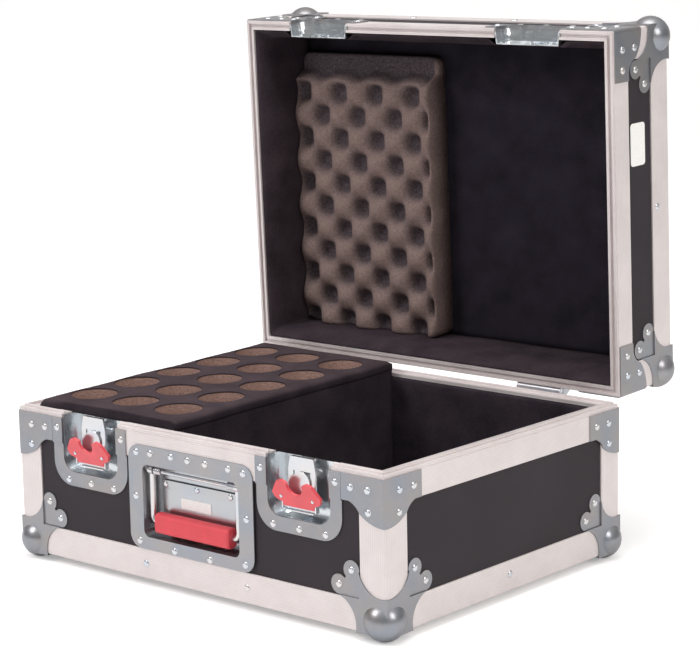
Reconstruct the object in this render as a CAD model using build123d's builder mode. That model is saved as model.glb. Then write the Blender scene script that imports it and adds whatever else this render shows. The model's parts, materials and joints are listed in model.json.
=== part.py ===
from math import cos, radians, sin, tan
import os

from build123d import *

os.makedirs("parts", exist_ok=True)

# Flight case for fifteen hand-held microphones, shown with its lid open.
# Millimetres. X runs along the width, Y from front to back, Z up. The origin is on the floor
# under the middle of the base.

# ---- Driving dimensions -------------------------------------------------------------------
case_width = 480.0
case_depth = 360.0
base_height = 148.3            # underside of the edge angles to the parting plane
lid_height = 94.0              # parting plane to the top of the lid's edge angles
lid_open_angle = 88.0
closing_gap = 0.3

ply = 7.0
leg_thickness = 1.5            # every aluminium extrusion
leg_width = 30.0
leg_round = 2.0
mitre_gap = 0.1
steel = 1.2                    # pressed steel fittings

base_rim_height = 28.5
base_land_width = 15.0
lid_rim_height = 25.0
lid_land_width = 9.7
rim_shoulder = 3.5             # the ledge under the base's land
lid_shoulder = 2.0
shoulder_inset = 0.8
base_web = 4.5                 # extrusion metal between the land and the panel's edge
lid_web = 5.0
inner_leg_thickness = 1.2
inner_leg_height = 9.0
land_sheet = 2.0
tongue_inset = 4.0
tongue_width = 2.5
tongue_height = 2.5
tongue_bevel = 0.6
groove_clearance = 0.4
groove_swing_room = 0.8        # the groove's outer wall swings in past the tongue
groove_depth = 3.2

ball_radius = 19.5
ball_inset = 11.8              # centre of the ball inside each face
corner_clearance = 0.3
corner_leaf_reach = 55.5
corner_leaf_offset = 40.5
corner_leaf_radius = 9.3
corner_flange_length = 35.5
corner_scoop = (38.9, 19.3)       # the middle of each scooped side, from the vertex

brace_gap = 0.3                # between a brace and the latch plate beside it
brace_drop = 45.0
brace_waist = 28.7
brace_shoulder = 41.0
brace_knee = 35.0
brace_lower_bend = (18.7, 41.3)   # a point on the rounded foot
brace_upper_bend = (33.0, 4.6)    # a point on the upper sweep, below the rim

floor_lining = 10.0
base_lining = 9.0
lid_lining = 10.0
lid_top_lining = 5.5
lining_gap = 0.2
pocket_skin_gap = 0.4

tray_width = 185.8
tray_top_rise = 12.0           # above the parting plane
tray_cover_thickness = 1.5
divider_thickness = 3.0
pocket_radius = 23.5
pocket_depth = 118.0
pocket_columns = 3
pocket_rows = 5
pocket_pitch_x = 60.0
pocket_pitch_y = 60.0
pocket_side_margin = 9.8       # foam left between the last pockets and the divider

pad_width = 191.0
pad_length = 301.0
pad_thickness = 35.0

dish_depth = 14.9
dish_taper = 6.0
cutout_clearance = 1.5

latch_offset = 137.5
latch_plate_width = 104.0
latch_plate_round = 24.0
latch_dish_width = 79.0
latch_dish_round = 15.0
latch_flange = 13.0
latch_dish_drop = 54.6         # from the brace line down to the dish's lower edge
keeper_dish_height = 27.0
notch_clearance = 0.3

dish_top_gap = 0.8             # dish edges below and above the parting plane

rotor_drop = 23.0              # rotor axis below the parting plane
cam_radius = 7.0
cam_throw = 3.0
cam_end_gap = 1.0
rotor_shaft_radius = 3.8
running_gap = 0.05
press_gap = 0.02
yoke_half_width = 16.5
yoke_shoulder = 12.0
yoke_top_radius = 10.6
yoke_waist = 9.0
yoke_drop = 27.0
yoke_inset = 4.0
yoke_thickness = 1.2
yoke_lip_inset = 1.6
ear_thickness = 1.4
ear_height = 6.5
ear_front = 0.6
wing_half_width = 29.6
wing_belt = 9.5                # the widest point, below the rotor axis
wing_thickness = 3.0
wing_pin_drop = 21.5
wing_pin_inset = 2.2
wing_pin_radius = 0.9
wing_foot_half_width = 19.0
wing_notch_radius = 9.5
wing_horn = (14.5, 4.5)
wing_horn_root = 2.0
wing_horn_back = (21.0, 2.9)      # where the horn's outer slope starts
wing_flank = 2.6                 # the bevel below the widest point
wing_foot_land = 0.1             # flat left between the foot's two rounded edges
wing_tip_round = 1.6
wing_rest_tilt = 18.0
wing_gap = 0.5
drawbar_thickness = 1.8
drawbar_gap = 0.4
drawbar_head_half_width = 14.0
drawbar_head_rise = 0.5        # above the parting plane when released
draw_tilt = 24.0               # the drawbar's path leans back by this much as it draws down
hook_reach = 2.6
cam_slack = 0.8
keeper_width = 26.0
keeper_lip_front = 10.8
keeper_plate_inset = 13.0
keeper_plate_thickness = 1.4
keeper_lip_thickness = 1.6
hook_gap = 0.3

handle_plate_width = 164.0
handle_plate_height = 102.8
handle_plate_round = 14.0
handle_dish_width = 129.0
handle_dish_height = 74.0
handle_dish_round = 7.0
handle_plate_rise = 0.4        # plate above the bottom angle's edge
handle_mouth_drop = 3.1        # the dish sits below the plate's middle
handle_rod_radius = 2.0
handle_rod_inset = 6.0
handle_rod_end = 0.7           # rod beyond the dish's mouth, through its side walls
bail_radius = 3.0
bail_side_gap = 2.0
bail_bend = 7.0
eye_radius = 4.2
eye_width = 6.0
eye_gap = 0.5
grip_half_length = 49.0
grip_height = 20.0
grip_depth = 14.0
grip_round = 5.0
grip_proud = 2.0               # grip in front of the case's face
grip_end_chamfer = 1.5
grip_floor_gap = 3.5           # grip above the dish's lower wall
spring_radius = 4.0
spring_length = 10.0
spring_gap = 0.15
stop_plate_width = 100.0
stop_plate_low = 27.5          # above the dish's lower edge
stop_plate_bend = 48.0
stop_plate_high = 57.0
stop_plate_step = 1.5

hinge_offset = 141.0
hinge_width = 54.0
hinge_leaf = 28.0
hinge_leaf_thickness = 1.5
hinge_back = 3.2               # pin axis behind the back face
hinge_rise = 3.2               # pin axis above the parting plane
knuckle_radius = 3.0
leaf_gap = 0.4                   # between a knuckle and the other leaf
hinge_pin_radius = 1.5
knuckle_share = 0.3            # each outer knuckle's share of the hinge width
knuckle_gap = 0.2
stop_ear_thickness = 2.0
stop_ear_reach = 10.0
stop_ear_root = 4.0
stop_ear_height = 18.0
stop_gap_angle = 1.2

# ---- Places that follow from them ---------------------------------------------------------
half_width = case_width / 2
half_depth = case_depth / 2
underside = ball_radius - ball_inset               # the balls hold the angles off the floor
parting = underside + base_height
lid_plane = parting + closing_gap                  # the closed lid's rim
lid_top = lid_plane + lid_height
panel_face = leg_thickness                         # inset of every panel's outer face
panel_back = leg_thickness + ply
rim_low = parting - base_rim_height
lid_rim_top = lid_plane + lid_rim_height
brace_line = parting - rim_shoulder
lid_brace_line = lid_plane + lid_shoulder
floor_top = underside + panel_back + floor_lining
base_lining_face = panel_back + base_lining
lid_lining_face = panel_back + lid_lining
hinge_axis = Axis((0, half_depth + hinge_back, parting + hinge_rise), (1, 0, 0))


def front_at(inset):
    """Sketch plane facing the front, at a depth behind the case's front face."""
    return Plane.XZ.offset(half_depth - inset)


def save(piece, name, on_lid=False):
    """Label a finished piece and write it; lid pieces are drawn closed and swung open here."""
    if on_lid:
        piece.part = piece.part.rotate(hinge_axis, -lid_open_angle)
    piece.part.label = name
    export_step(piece.part, f"parts/{name}.step")


def cut_corners(heights):
    """Clear the cubes at the case's vertices that the ball corners fill."""
    cube = ball_inset + corner_clearance
    across = case_width - cube
    along = case_depth - cube
    for height in heights:
        with Locations((0, 0, height)):
            with GridLocations(across, along, 2, 2):
                Box(cube, cube, 2 * cube, mode=Mode.SUBTRACT)


# ---- Plywood panels -----------------------------------------------------------------------
def wall_box(x_low, x_high, y_low, y_high, z_low, z_high, mode=Mode.ADD):
    """A board between two opposite corners."""
    with BuildSketch(Plane.XY.offset(z_low), mode=Mode.PRIVATE) as board:
        with Locations(((x_low + x_high) / 2, (y_low + y_high) / 2)):
            Rectangle(x_high - x_low, y_high - y_low)
    extrude(board.sketch, amount=z_high - z_low, mode=mode)


def flat_panel(z_low):
    """The bottom or top panel, its corners cleared for the ball corners."""
    with BuildPart() as panel:
        wall_box(panel_face - half_width, half_width - panel_face,
                 panel_face - half_depth, half_depth - panel_face, z_low, z_low + ply)
        cut_corners((underside, lid_top))
    return panel


def long_panel(side, z_low, z_high):
    """The front (side -1) or back (side 1) panel, full width between the corner angles."""
    inner = side * (half_depth - panel_back)
    outer = side * (half_depth - panel_face)
    with BuildPart() as panel:
        wall_box(panel_face - half_width, half_width - panel_face,
                 min(inner, outer), max(inner, outer), z_low, z_high)
        cut_corners((underside, lid_top))
    return panel


def short_panel(side, z_low, z_high):
    """The left (side -1) or right (side 1) panel, between the front and back panels."""
    inner = side * (half_width - panel_back)
    outer = side * (half_width - panel_face)
    with BuildPart() as panel:
        wall_box(min(inner, outer), max(inner, outer),
                 panel_back - half_depth, half_depth - panel_back, z_low, z_high)
        cut_corners((underside, lid_top))
    return panel


base_wall_low = underside + panel_back
base_wall_high = parting - base_web
lid_wall_low = lid_plane + lid_web
lid_wall_high = lid_top - panel_back

save(flat_panel(underside + panel_face), "base_bottom_panel")
save(long_panel(1, base_wall_low, base_wall_high), "base_back_panel")
save(short_panel(-1, base_wall_low, base_wall_high), "base_left_panel")
save(short_panel(1, base_wall_low, base_wall_high), "base_right_panel")
save(flat_panel(lid_top - panel_back), "lid_top_panel", on_lid=True)
save(long_panel(1, lid_wall_low, lid_wall_high), "lid_back_panel", on_lid=True)
save(short_panel(-1, lid_wall_low, lid_wall_high), "lid_left_panel", on_lid=True)
save(short_panel(1, lid_wall_low, lid_wall_high), "lid_right_panel", on_lid=True)

# ---- Recessed dishes: shared outlines -----------------------------------------------------
latch_low = brace_line - latch_dish_drop           # lower edge of the latch dish
latch_plate_low = latch_low - latch_flange
keeper_high = lid_plane + keeper_dish_height
keeper_plate_high = keeper_high + latch_flange
handle_low = underside + leg_width + handle_plate_rise
handle_middle = handle_low + handle_plate_height / 2
handle_mouth_middle = handle_middle - handle_mouth_drop
handle_mouth_low = handle_mouth_middle - handle_dish_height / 2
handle_mouth_high = handle_mouth_middle + handle_dish_height / 2
dish_back = dish_depth + steel                     # outer face of every dish's floor


def latch_mouth(margin=0.0):
    """The latch dish's outline from the front: round below, open past the parting plane."""
    width = latch_dish_width + 2 * margin
    height = parting - latch_low + margin + latch_dish_round
    with BuildSketch(mode=Mode.PRIVATE) as outline:
        with Locations((0, latch_low - margin + height / 2)):
            RectangleRounded(width, height, latch_dish_round)
    return outline.sketch


def keeper_mouth(margin=0.0):
    """The keeper dish's outline: round above, open down past the lid's rim plane."""
    width = latch_dish_width + 2 * margin
    height = keeper_dish_height + margin + latch_dish_round
    with BuildSketch(mode=Mode.PRIVATE) as outline:
        with Locations((0, keeper_high + margin - height / 2)):
            RectangleRounded(width, height, latch_dish_round)
    return outline.sketch


def handle_mouth(margin=0.0):
    """The handle dish's outline."""
    with BuildSketch(mode=Mode.PRIVATE) as outline:
        with Locations((0, handle_mouth_middle)):
            RectangleRounded(handle_dish_width + 2 * margin, handle_dish_height + 2 * margin,
                             handle_dish_round)
    return outline.sketch


def cut_front(shape, x, inset, depth):
    """Cut a front outline straight back into the piece being built."""
    with BuildSketch(front_at(inset)) as profile:
        with Locations((x, 0)):
            add(shape)
    extrude(profile.sketch, amount=-depth, mode=Mode.SUBTRACT)


with BuildPart() as base_front_panel:
    add(long_panel(-1, base_wall_low, base_wall_high).part)
    for latch_side in (-1, 1):
        cut_front(latch_mouth(cutout_clearance), latch_side * latch_offset, 0, panel_back + 1)
    cut_front(handle_mouth(cutout_clearance), 0, 0, panel_back + 1)
save(base_front_panel, "base_front_panel")

with BuildPart() as lid_front_panel:
    add(long_panel(-1, lid_wall_low, lid_wall_high).part)
    for latch_side in (-1, 1):
        cut_front(keeper_mouth(cutout_clearance), latch_side * latch_offset, 0, panel_back + 1)
save(lid_front_panel, "lid_front_panel", on_lid=True)

# ---- Aluminium rim extrusions -------------------------------------------------------------
# Sections are drawn with x as the inset from the outer face and y as the height.
tongue_end = tongue_inset + tongue_width
base_rim_outline = [
    (0, rim_low), (0, brace_line), (shoulder_inset, brace_line), (shoulder_inset, parting),
    (tongue_inset, parting), (tongue_inset, parting + tongue_height - tongue_bevel),
    (tongue_inset + tongue_bevel, parting + tongue_height),
    (tongue_end - tongue_bevel, parting + tongue_height),
    (tongue_end, parting + tongue_height - tongue_bevel), (tongue_end, parting),
    (base_land_width, parting), (base_land_width, parting - rim_shoulder),
    (base_land_width - inner_leg_thickness, parting - rim_shoulder),
    (base_land_width - inner_leg_thickness, parting - land_sheet),
    (panel_back + inner_leg_thickness, parting - land_sheet),
    (panel_back + inner_leg_thickness, base_wall_high - inner_leg_height),
    (panel_back, base_wall_high - inner_leg_height), (panel_back, base_wall_high),
    (leg_thickness, base_wall_high), (leg_thickness, rim_low),
]
groove_low = tongue_inset - groove_swing_room
groove_high = tongue_end + groove_clearance
lid_rim_outline = [
    (0, lid_rim_top), (0, lid_brace_line), (shoulder_inset, lid_brace_line),
    (shoulder_inset, lid_plane), (groove_low, lid_plane), (groove_low, lid_plane + groove_depth),
    (groove_high, lid_plane + groove_depth), (groove_high, lid_plane),
    (lid_land_width, lid_plane), (lid_land_width, lid_wall_low + inner_leg_height),
    (panel_back, lid_wall_low + inner_leg_height), (panel_back, lid_wall_low),
    (leg_thickness, lid_wall_low), (leg_thickness, lid_rim_top),
]

sides = {
    "front": (Vector(0, -half_depth, 0), Vector(0, 1, 0), case_width),
    "back": (Vector(0, half_depth, 0), Vector(0, -1, 0), case_width),
    "left": (Vector(-half_width, 0, 0), Vector(1, 0, 0), case_depth),
    "right": (Vector(half_width, 0, 0), Vector(-1, 0, 0), case_depth),
}


def mitred_length(side, section):
    """Run a section along one side of the case and mitre both ends; call it inside a part."""
    middle, inward, length = sides[side]
    along = inward.cross(Vector(0, 0, 1))
    with BuildSketch(Plane(origin=middle, x_dir=inward, z_dir=along)) as profile:
        add(section)
    extrude(profile.sketch, amount=length / 2, both=True)
    for end in (-1, 1):
        corner = middle + along * (end * (length / 2 - mitre_gap))
        split(bisect_by=Plane(origin=corner, z_dir=along * -end - inward), keep=Keep.TOP)


def rim(side, outline, mouth=None):
    """One side's rim extrusion; the front one is sawn out where the latches stand."""
    with BuildSketch(mode=Mode.PRIVATE) as section:
        with BuildLine():
            Polyline(*outline, close=True)
        make_face()
    with BuildPart() as length:
        mitred_length(side, section.sketch)
        if mouth is not None:
            for latch_side in (-1, 1):
                cut_front(mouth, latch_side * latch_offset, -1, leg_width)
    return length


for side in sides:
    at_latch = side == "front"
    save(rim(side, base_rim_outline, latch_mouth(notch_clearance) if at_latch else None),
         f"base_{side}_rim")
    save(rim(side, lid_rim_outline, keeper_mouth(notch_clearance) if at_latch else None),
         f"lid_{side}_rim", on_lid=True)


# ---- Aluminium edge angles ----------------------------------------------------------------
def angle_section(x_sign, y_sign, corner, width=leg_width, thickness=leg_thickness,
                  outer_round=leg_round):
    """A right angle with a rounded outer corner, its legs running to x_sign and y_sign."""
    cx, cy = corner
    swell = outer_round * (1 - cos(radians(45)))
    with BuildSketch(mode=Mode.PRIVATE) as section:
        with BuildLine():
            Polyline((cx + x_sign * outer_round, cy), (cx + x_sign * width, cy),
                     (cx + x_sign * width, cy + y_sign * thickness),
                     (cx + x_sign * thickness, cy + y_sign * thickness),
                     (cx + x_sign * thickness, cy + y_sign * width),
                     (cx, cy + y_sign * width), (cx, cy + y_sign * outer_round))
            ThreePointArc((cx, cy + y_sign * outer_round), (cx + x_sign * swell, cy + y_sign * swell),
                          (cx + x_sign * outer_round, cy))
        make_face()
    return section.sketch


def edging(corner_height, y_sign):
    """Four mitred angles round the bottom (y_sign 1) or the top (y_sign -1)."""
    lengths = []
    for side in sides:
        with BuildPart() as length:
            mitred_length(side, angle_section(1, y_sign, (0, corner_height)))
            cut_corners((corner_height,))
        lengths.append(length.part)
    with BuildPart() as frame:
        for length in lengths:
            add(length)
    return frame


def corner_posts(z_low, z_high):
    """Four upright angles, one on each vertical edge."""
    with BuildPart() as posts:
        for x_side in (-1, 1):
            for y_side in (-1, 1):
                corner = (x_side * half_width, y_side * half_depth)
                with BuildSketch(Plane.XY.offset(z_low)):
                    add(angle_section(-x_side, -y_side, corner))
                extrude(amount=z_high - z_low)
    return posts


save(edging(underside, 1), "base_bottom_edging")
save(edging(lid_top, -1), "lid_top_edging", on_lid=True)
save(corner_posts(underside + leg_width, rim_low), "base_corner_posts")
save(corner_posts(lid_rim_top, lid_top - leg_width), "lid_corner_posts", on_lid=True)


# ---- Ball corners -------------------------------------------------------------------------
def flange_outline():
    """A flange seen square on, from the vertex: two scooped sides and a two-lobed leaf."""
    start = -steel
    reach = corner_flange_length
    tip = corner_leaf_reach
    waist = corner_leaf_offset - corner_leaf_radius
    bend, dip = corner_scoop
    with BuildSketch(mode=Mode.PRIVATE) as outline:
        with BuildLine():
            Polyline((start, reach), (start, start), (reach, start))
            ThreePointArc((reach, start), (bend, dip), (tip, waist))
            Line((tip, waist), (waist, tip))
            ThreePointArc((waist, tip), (dip, bend), (start, reach))
        make_face()
        Polygon((tip, waist), (tip, corner_leaf_offset), (corner_leaf_offset, tip),
                (waist, tip), align=None)
        with Locations((tip, corner_leaf_offset), (corner_leaf_offset, tip)):
            Circle(corner_leaf_radius)
    return outline.sketch


def window(low, high):
    """The square quadrant from low to high, away from the vertex in both directions."""
    with BuildSketch(mode=Mode.PRIVATE) as square:
        with Locations(((low + high) / 2, (low + high) / 2)):
            Rectangle(high - low, high - low)
    return square.sketch


def ball_shell(vertex, diagonal):
    """The hollow ball, left out where the case's own walls run behind the flanges."""
    nook = ball_inset + 2 * steel
    with BuildPart() as walls:
        with Locations(vertex + diagonal * ball_radius):
            Box(2 * ball_radius, 2 * ball_radius, 2 * ball_radius)
        with Locations(vertex + diagonal * (ball_inset - nook / 2)):
            Box(nook, nook, nook, mode=Mode.SUBTRACT)
    with BuildPart() as ball:
        with Locations(vertex + diagonal * ball_inset):
            Sphere(ball_radius)
            Sphere(ball_radius - steel, mode=Mode.SUBTRACT)
        add(walls.part, mode=Mode.SUBTRACT)
    return ball.part


def ball_corner(x_side, y_side, z_side, height):
    """A pressed corner: a hollow ball and three flanges whose leaves step down to the panels."""
    vertex = Vector(x_side * half_width, y_side * half_depth, height)
    inward = [Vector(-x_side, 0, 0), Vector(0, -y_side, 0), Vector(0, 0, -z_side)]
    diagonal = inward[0] + inward[1] + inward[2]
    nook = ball_inset + 2 * steel
    far = corner_leaf_reach + corner_leaf_radius + 1
    outline = flange_outline()
    leaf = outline & window(leg_width, far)
    sole = outline - window(leg_width + steel, far)
    riser = leaf - window(leg_width + steel, far)
    shell = ball_shell(vertex, diagonal)
    with BuildPart() as corner:
        for face in range(3):
            out = inward[face] * -1
            first, second = [inward[i] for i in range(3) if i != face]
            if first.cross(second).dot(out) < 0:
                first, second = second, first
            with BuildSketch(Plane(origin=vertex, x_dir=first, z_dir=out)) as upper:
                add(sole)
            extrude(upper.sketch, amount=steel)
            panel_plane = Plane(origin=vertex - out * panel_face, x_dir=first, z_dir=out)
            with BuildSketch(panel_plane) as lower:
                add(leaf)
            extrude(lower.sketch, amount=steel)
            with BuildSketch(panel_plane) as step:
                add(riser)
            extrude(step.sketch, amount=panel_face + steel)
        with Locations(vertex + diagonal * (ball_inset - nook / 2)):
            Box(nook, nook, nook, mode=Mode.SUBTRACT)
        with Locations(vertex + diagonal * ball_inset):
            Sphere(ball_radius - steel / 2, mode=Mode.SUBTRACT)
        add(shell)
    return corner


for x_name, x_side in (("left", -1), ("right", 1)):
    for y_name, y_side in (("front", -1), ("back", 1)):
        save(ball_corner(x_side, y_side, -1, underside), f"base_ball_corner_{y_name}_{x_name}")
        save(ball_corner(x_side, y_side, 1, lid_top), f"lid_ball_corner_{y_name}_{x_name}",
             on_lid=True)


# ---- Rim corner braces --------------------------------------------------------------------
brace_length = half_width - latch_offset - latch_plate_width / 2 - brace_gap


def brace_waste(rim_face):
    """What is trimmed off one leg: x along the rim, y away from the brace's straight edge."""
    sweep, dip = brace_upper_bend
    with BuildSketch(mode=Mode.PRIVATE) as waste:
        with BuildLine():
            ThreePointArc((0, brace_drop), brace_lower_bend, (brace_waist, brace_knee))
            ThreePointArc((brace_waist, brace_knee), (sweep, rim_face + dip),
                          (brace_shoulder, rim_face))
            Polyline((brace_shoulder, rim_face), (brace_length + 1, rim_face),
                     (brace_length + 1, brace_drop + 1), (0, brace_drop + 1), (0, brace_drop))
        make_face()
    return waste.sketch


def rim_braces(line, away, rim_face):
    """Bent plates round the four upright edges; away is up or down from the straight edge."""
    with BuildPart() as plates:
        for x_side in (-1, 1):
            for y_side in (-1, 1):
                corner = (x_side * (half_width + steel), y_side * (half_depth + steel))
                with BuildSketch(Plane.XY.offset(line)) as section:
                    add(angle_section(-x_side, -y_side, corner, brace_length + steel, steel,
                                      leg_round + steel))
                extrude(section.sketch, amount=away * brace_drop)
                edge = Vector(x_side * half_width, y_side * half_depth, line)
                rise = Vector(0, 0, away)
                for run, out in ((Vector(-x_side, 0, 0), Vector(0, y_side, 0)),
                                 (Vector(0, -y_side, 0), Vector(x_side, 0, 0))):
                    face = Plane(origin=edge + out * (steel / 2), x_dir=run,
                                 z_dir=run.cross(rise))
                    with BuildSketch(face) as trimmed:
                        add(brace_waste(rim_face))
                    extrude(trimmed.sketch, amount=steel, both=True, mode=Mode.SUBTRACT)
    return plates


save(rim_braces(brace_line, -1, base_rim_height - rim_shoulder), "base_rim_braces")
save(rim_braces(lid_brace_line, 1, lid_rim_height - lid_shoulder), "lid_rim_braces", on_lid=True)

# ---- Latches: the recessed dishes on base and lid -----------------------------------------
dish_shrink = dish_depth * tan(radians(dish_taper))


def strip(z_low, z_high):
    """A wide band between two heights."""
    with BuildSketch(mode=Mode.PRIVATE) as band:
        with Locations((0, (z_low + z_high) / 2)):
            Rectangle(2 * latch_plate_width, z_high - z_low)
    return band.sketch


def latch_plate(z_low, z_high, round_end):
    """A latch plate's outline, rounded at its far end and square at the parting end."""
    low = z_low - (0 if round_end < 0 else 2 * latch_plate_round)
    high = z_high + (0 if round_end > 0 else 2 * latch_plate_round)
    with BuildSketch(mode=Mode.PRIVATE) as outline:
        with Locations((0, (low + high) / 2)):
            RectangleRounded(latch_plate_width, high - low, latch_plate_round)
    return outline.sketch & strip(z_low, z_high)


def front_layer(shape, x, inset, outward):
    """Thicken a front outline outwards from a depth behind the front face."""
    with BuildSketch(front_at(inset)) as layer:
        with Locations((x, 0)):
            add(shape)
    return extrude(layer.sketch, amount=outward, mode=Mode.PRIVATE)


def front_loft(outer, outer_inset, inner, inner_inset, x):
    """A tapering body between two front outlines at two depths."""
    with BuildSketch(front_at(outer_inset), mode=Mode.PRIVATE) as mouth:
        with Locations((x, 0)):
            add(outer)
    with BuildSketch(front_at(inner_inset), mode=Mode.PRIVATE) as floor:
        with Locations((x, 0)):
            add(inner)
    return loft([mouth.sketch, floor.sketch], mode=Mode.PRIVATE)


def pressed_dish(x, mouth, plate, plate_inset):
    """A plate with a tapering dish pressed back through it; call it inside a part."""
    add(front_layer(plate - mouth(-steel), x, plate_inset, steel))
    add(front_loft(mouth(), plate_inset, mouth(-dish_shrink), dish_back, x))
    add(front_loft(mouth(-steel), 0, mouth(-steel - dish_shrink), dish_depth, x),
        mode=Mode.SUBTRACT)


def latch_dish(x, mouth, plate, rim_edge, away, open_edge):
    """A dish whose plate lies on the panel and joggles over the rim beyond rim_edge; it
    stops at open_edge, just short of the parting plane."""
    far = 2 * latch_plate_width * away
    beyond = strip(*sorted((rim_edge, rim_edge + far)))
    over = strip(*sorted((rim_edge - away * steel, rim_edge + far)))
    ring = plate - mouth(-steel)
    with BuildPart() as dish:
        pressed_dish(x, mouth, plate, panel_face)
        add(front_layer(beyond, x, panel_face, steel), mode=Mode.SUBTRACT)
        add(front_layer(ring & over, x, 0, steel))
        add(front_layer(ring & (over - beyond), x, panel_face, panel_face + steel))
        add(front_layer((mouth() - mouth(-steel)) & over & plate, x, dish_depth / 2,
                        dish_depth / 2 + steel))
        add(front_loft(mouth(-steel), 0, mouth(-steel - dish_shrink), dish_depth, x),
            mode=Mode.SUBTRACT)
        add(front_layer(strip(*sorted((open_edge, open_edge + far))), x, leg_width, 2 * leg_width),
            mode=Mode.SUBTRACT)
    return dish


rotor_height = parting - rotor_drop
rotor_pin_height = rotor_height - wing_pin_drop
draw_drop = 2 * cam_throw
yoke_back = yoke_inset + yoke_thickness
cam_end = dish_depth - cam_end_gap
drawbar_inset = yoke_back + drawbar_gap
drawbar_back = drawbar_inset + drawbar_thickness
drawbar_low = latch_low + steel + dish_shrink + draw_drop + drawbar_gap
drawbar_high = parting + drawbar_head_rise
lip_top = drawbar_high - drawbar_thickness - draw_drop - hook_gap
ear_inner = wing_foot_half_width + wing_gap
ear_outer = ear_inner + ear_thickness
keeper_hook_top = keeper_high - latch_dish_round


def block(x, half, z_low, z_high, inset_front, inset_back):
    """A front-on block between two heights and two depths."""
    with BuildSketch(front_at(inset_back)) as outline:
        with Locations((x, (z_low + z_high) / 2)):
            Rectangle(2 * half, z_high - z_low)
    extrude(outline.sketch, amount=inset_back - inset_front)


def cross_pin(x, height, inset, radius, length, mode=Mode.ADD):
    """A round bar along X, or the bore for one."""
    with Locations((x, inset - half_depth, height)):
        Cylinder(radius, length, rotation=(0, 90, 0), mode=mode)


def disc(x, height, radius, inset_front, inset_back, mode=Mode.ADD):
    """A round boss or hole square to the front."""
    with BuildSketch(front_at(inset_back)) as outline:
        with Locations((x, height)):
            Circle(radius)
    extrude(outline.sketch, amount=inset_back - inset_front, mode=mode)


def rotor(x):
    """The turning part: a folded yoke with two ears, the pin they hold, a cam and a shaft."""
    yoke_low = rotor_height - yoke_drop
    with BuildPart() as turning:
        with BuildSketch(front_at(yoke_back)) as yoke:
            with Locations((x, rotor_height)):
                Circle(yoke_top_radius)
                Polygon((-yoke_half_width, -yoke_drop), (yoke_half_width, -yoke_drop),
                        (yoke_half_width, -yoke_shoulder), (yoke_waist, 0),
                        (-yoke_waist, 0), (-yoke_half_width, -yoke_shoulder), align=None)
            with Locations((x, rotor_pin_height)):
                Rectangle(2 * ear_outer, ear_height)
        extrude(yoke.sketch, amount=yoke_thickness)
        for side in (-1, 1):
            block(x + side * (ear_inner + ear_thickness / 2), ear_thickness / 2,
                  rotor_pin_height - ear_height / 2, rotor_pin_height + ear_height / 2,
                  ear_front, yoke_back)
        block(x, yoke_half_width, yoke_low, yoke_low + yoke_thickness, yoke_lip_inset, yoke_back)
        cross_pin(x, rotor_pin_height, wing_pin_inset, wing_pin_radius + press_gap,
                  2 * ear_outer + 1, mode=Mode.SUBTRACT)
        disc(x, rotor_height + cam_throw, cam_radius, yoke_back, cam_end)
        disc(x, rotor_height, rotor_shaft_radius, cam_end, dish_back)
        cross_pin(x, rotor_pin_height, wing_pin_inset, wing_pin_radius, 2 * ear_outer)
    return turning


def wing(x):
    """The finger wing: a crown with two horns round a notch, hinged at its foot."""
    horn_x, horn_z = wing_horn
    back_x, back_z = wing_horn_back
    shoulder = ear_height / 2 + wing_gap - wing_pin_drop
    foot = -wing_pin_drop - wing_thickness / 2
    neck = wing_foot_half_width + 2
    with BuildPart() as crown:
        with BuildSketch(front_at(wing_pin_inset + wing_thickness / 2)) as outline:
            with Locations((x, rotor_height)):
                for side in (-1, 1):
                    Polygon((0, foot), (side * wing_foot_half_width, foot),
                            (side * wing_foot_half_width, shoulder), (side * neck, shoulder),
                            (side * (wing_half_width - wing_flank), shoulder + wing_flank),
                            (side * wing_half_width, -wing_belt),
                            (side * back_x, back_z), (side * horn_x, horn_z),
                            (side * wing_notch_radius, wing_horn_root), (0, 0), align=None)
                Circle(wing_notch_radius, mode=Mode.SUBTRACT)
        extrude(outline.sketch, amount=wing_thickness)
        tips = crown.edges().filter_by(Axis.Y).filter_by(
            lambda edge: abs(edge.center().X - x) > wing_foot_half_width + 1
            or edge.center().Z > rotor_height + wing_horn_root + 1)
        fillet(tips, wing_tip_round)
        foot_edges = crown.edges().filter_by(Axis.X).group_by(Axis.Z)[0]
        fillet(foot_edges, wing_thickness / 2 - wing_foot_land)
        cross_pin(x, rotor_pin_height, wing_pin_inset, wing_pin_radius + running_gap,
                  2 * ear_outer, mode=Mode.SUBTRACT)
    pin = Axis((x, wing_pin_inset - half_depth, rotor_pin_height), (1, 0, 0))
    crown.part = crown.part.rotate(pin, wing_rest_tilt)
    return crown


def drawbar(x):
    """The sliding plate the cam drives, with the nose that draws the keeper down."""
    slot_half_width = cam_radius + cam_throw + hook_gap
    slot_half_height = cam_radius + cam_slack
    shoulder = rotor_height + yoke_shoulder
    with BuildPart() as bar:
        with BuildSketch(front_at(drawbar_back)) as outline:
            with Locations((x, 0)):
                Polygon((-yoke_half_width, drawbar_low), (yoke_half_width, drawbar_low),
                        (yoke_half_width, shoulder), (drawbar_head_half_width, drawbar_high),
                        (-drawbar_head_half_width, drawbar_high),
                        (-yoke_half_width, shoulder), align=None)
            with Locations((x, rotor_height + cam_throw)):
                Rectangle(2 * slot_half_width, 2 * slot_half_height, mode=Mode.SUBTRACT)
        extrude(outline.sketch, amount=drawbar_thickness)
        block(x, drawbar_head_half_width, drawbar_high - drawbar_thickness, drawbar_high,
              drawbar_inset, drawbar_back + hook_reach)
    return bar


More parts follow.
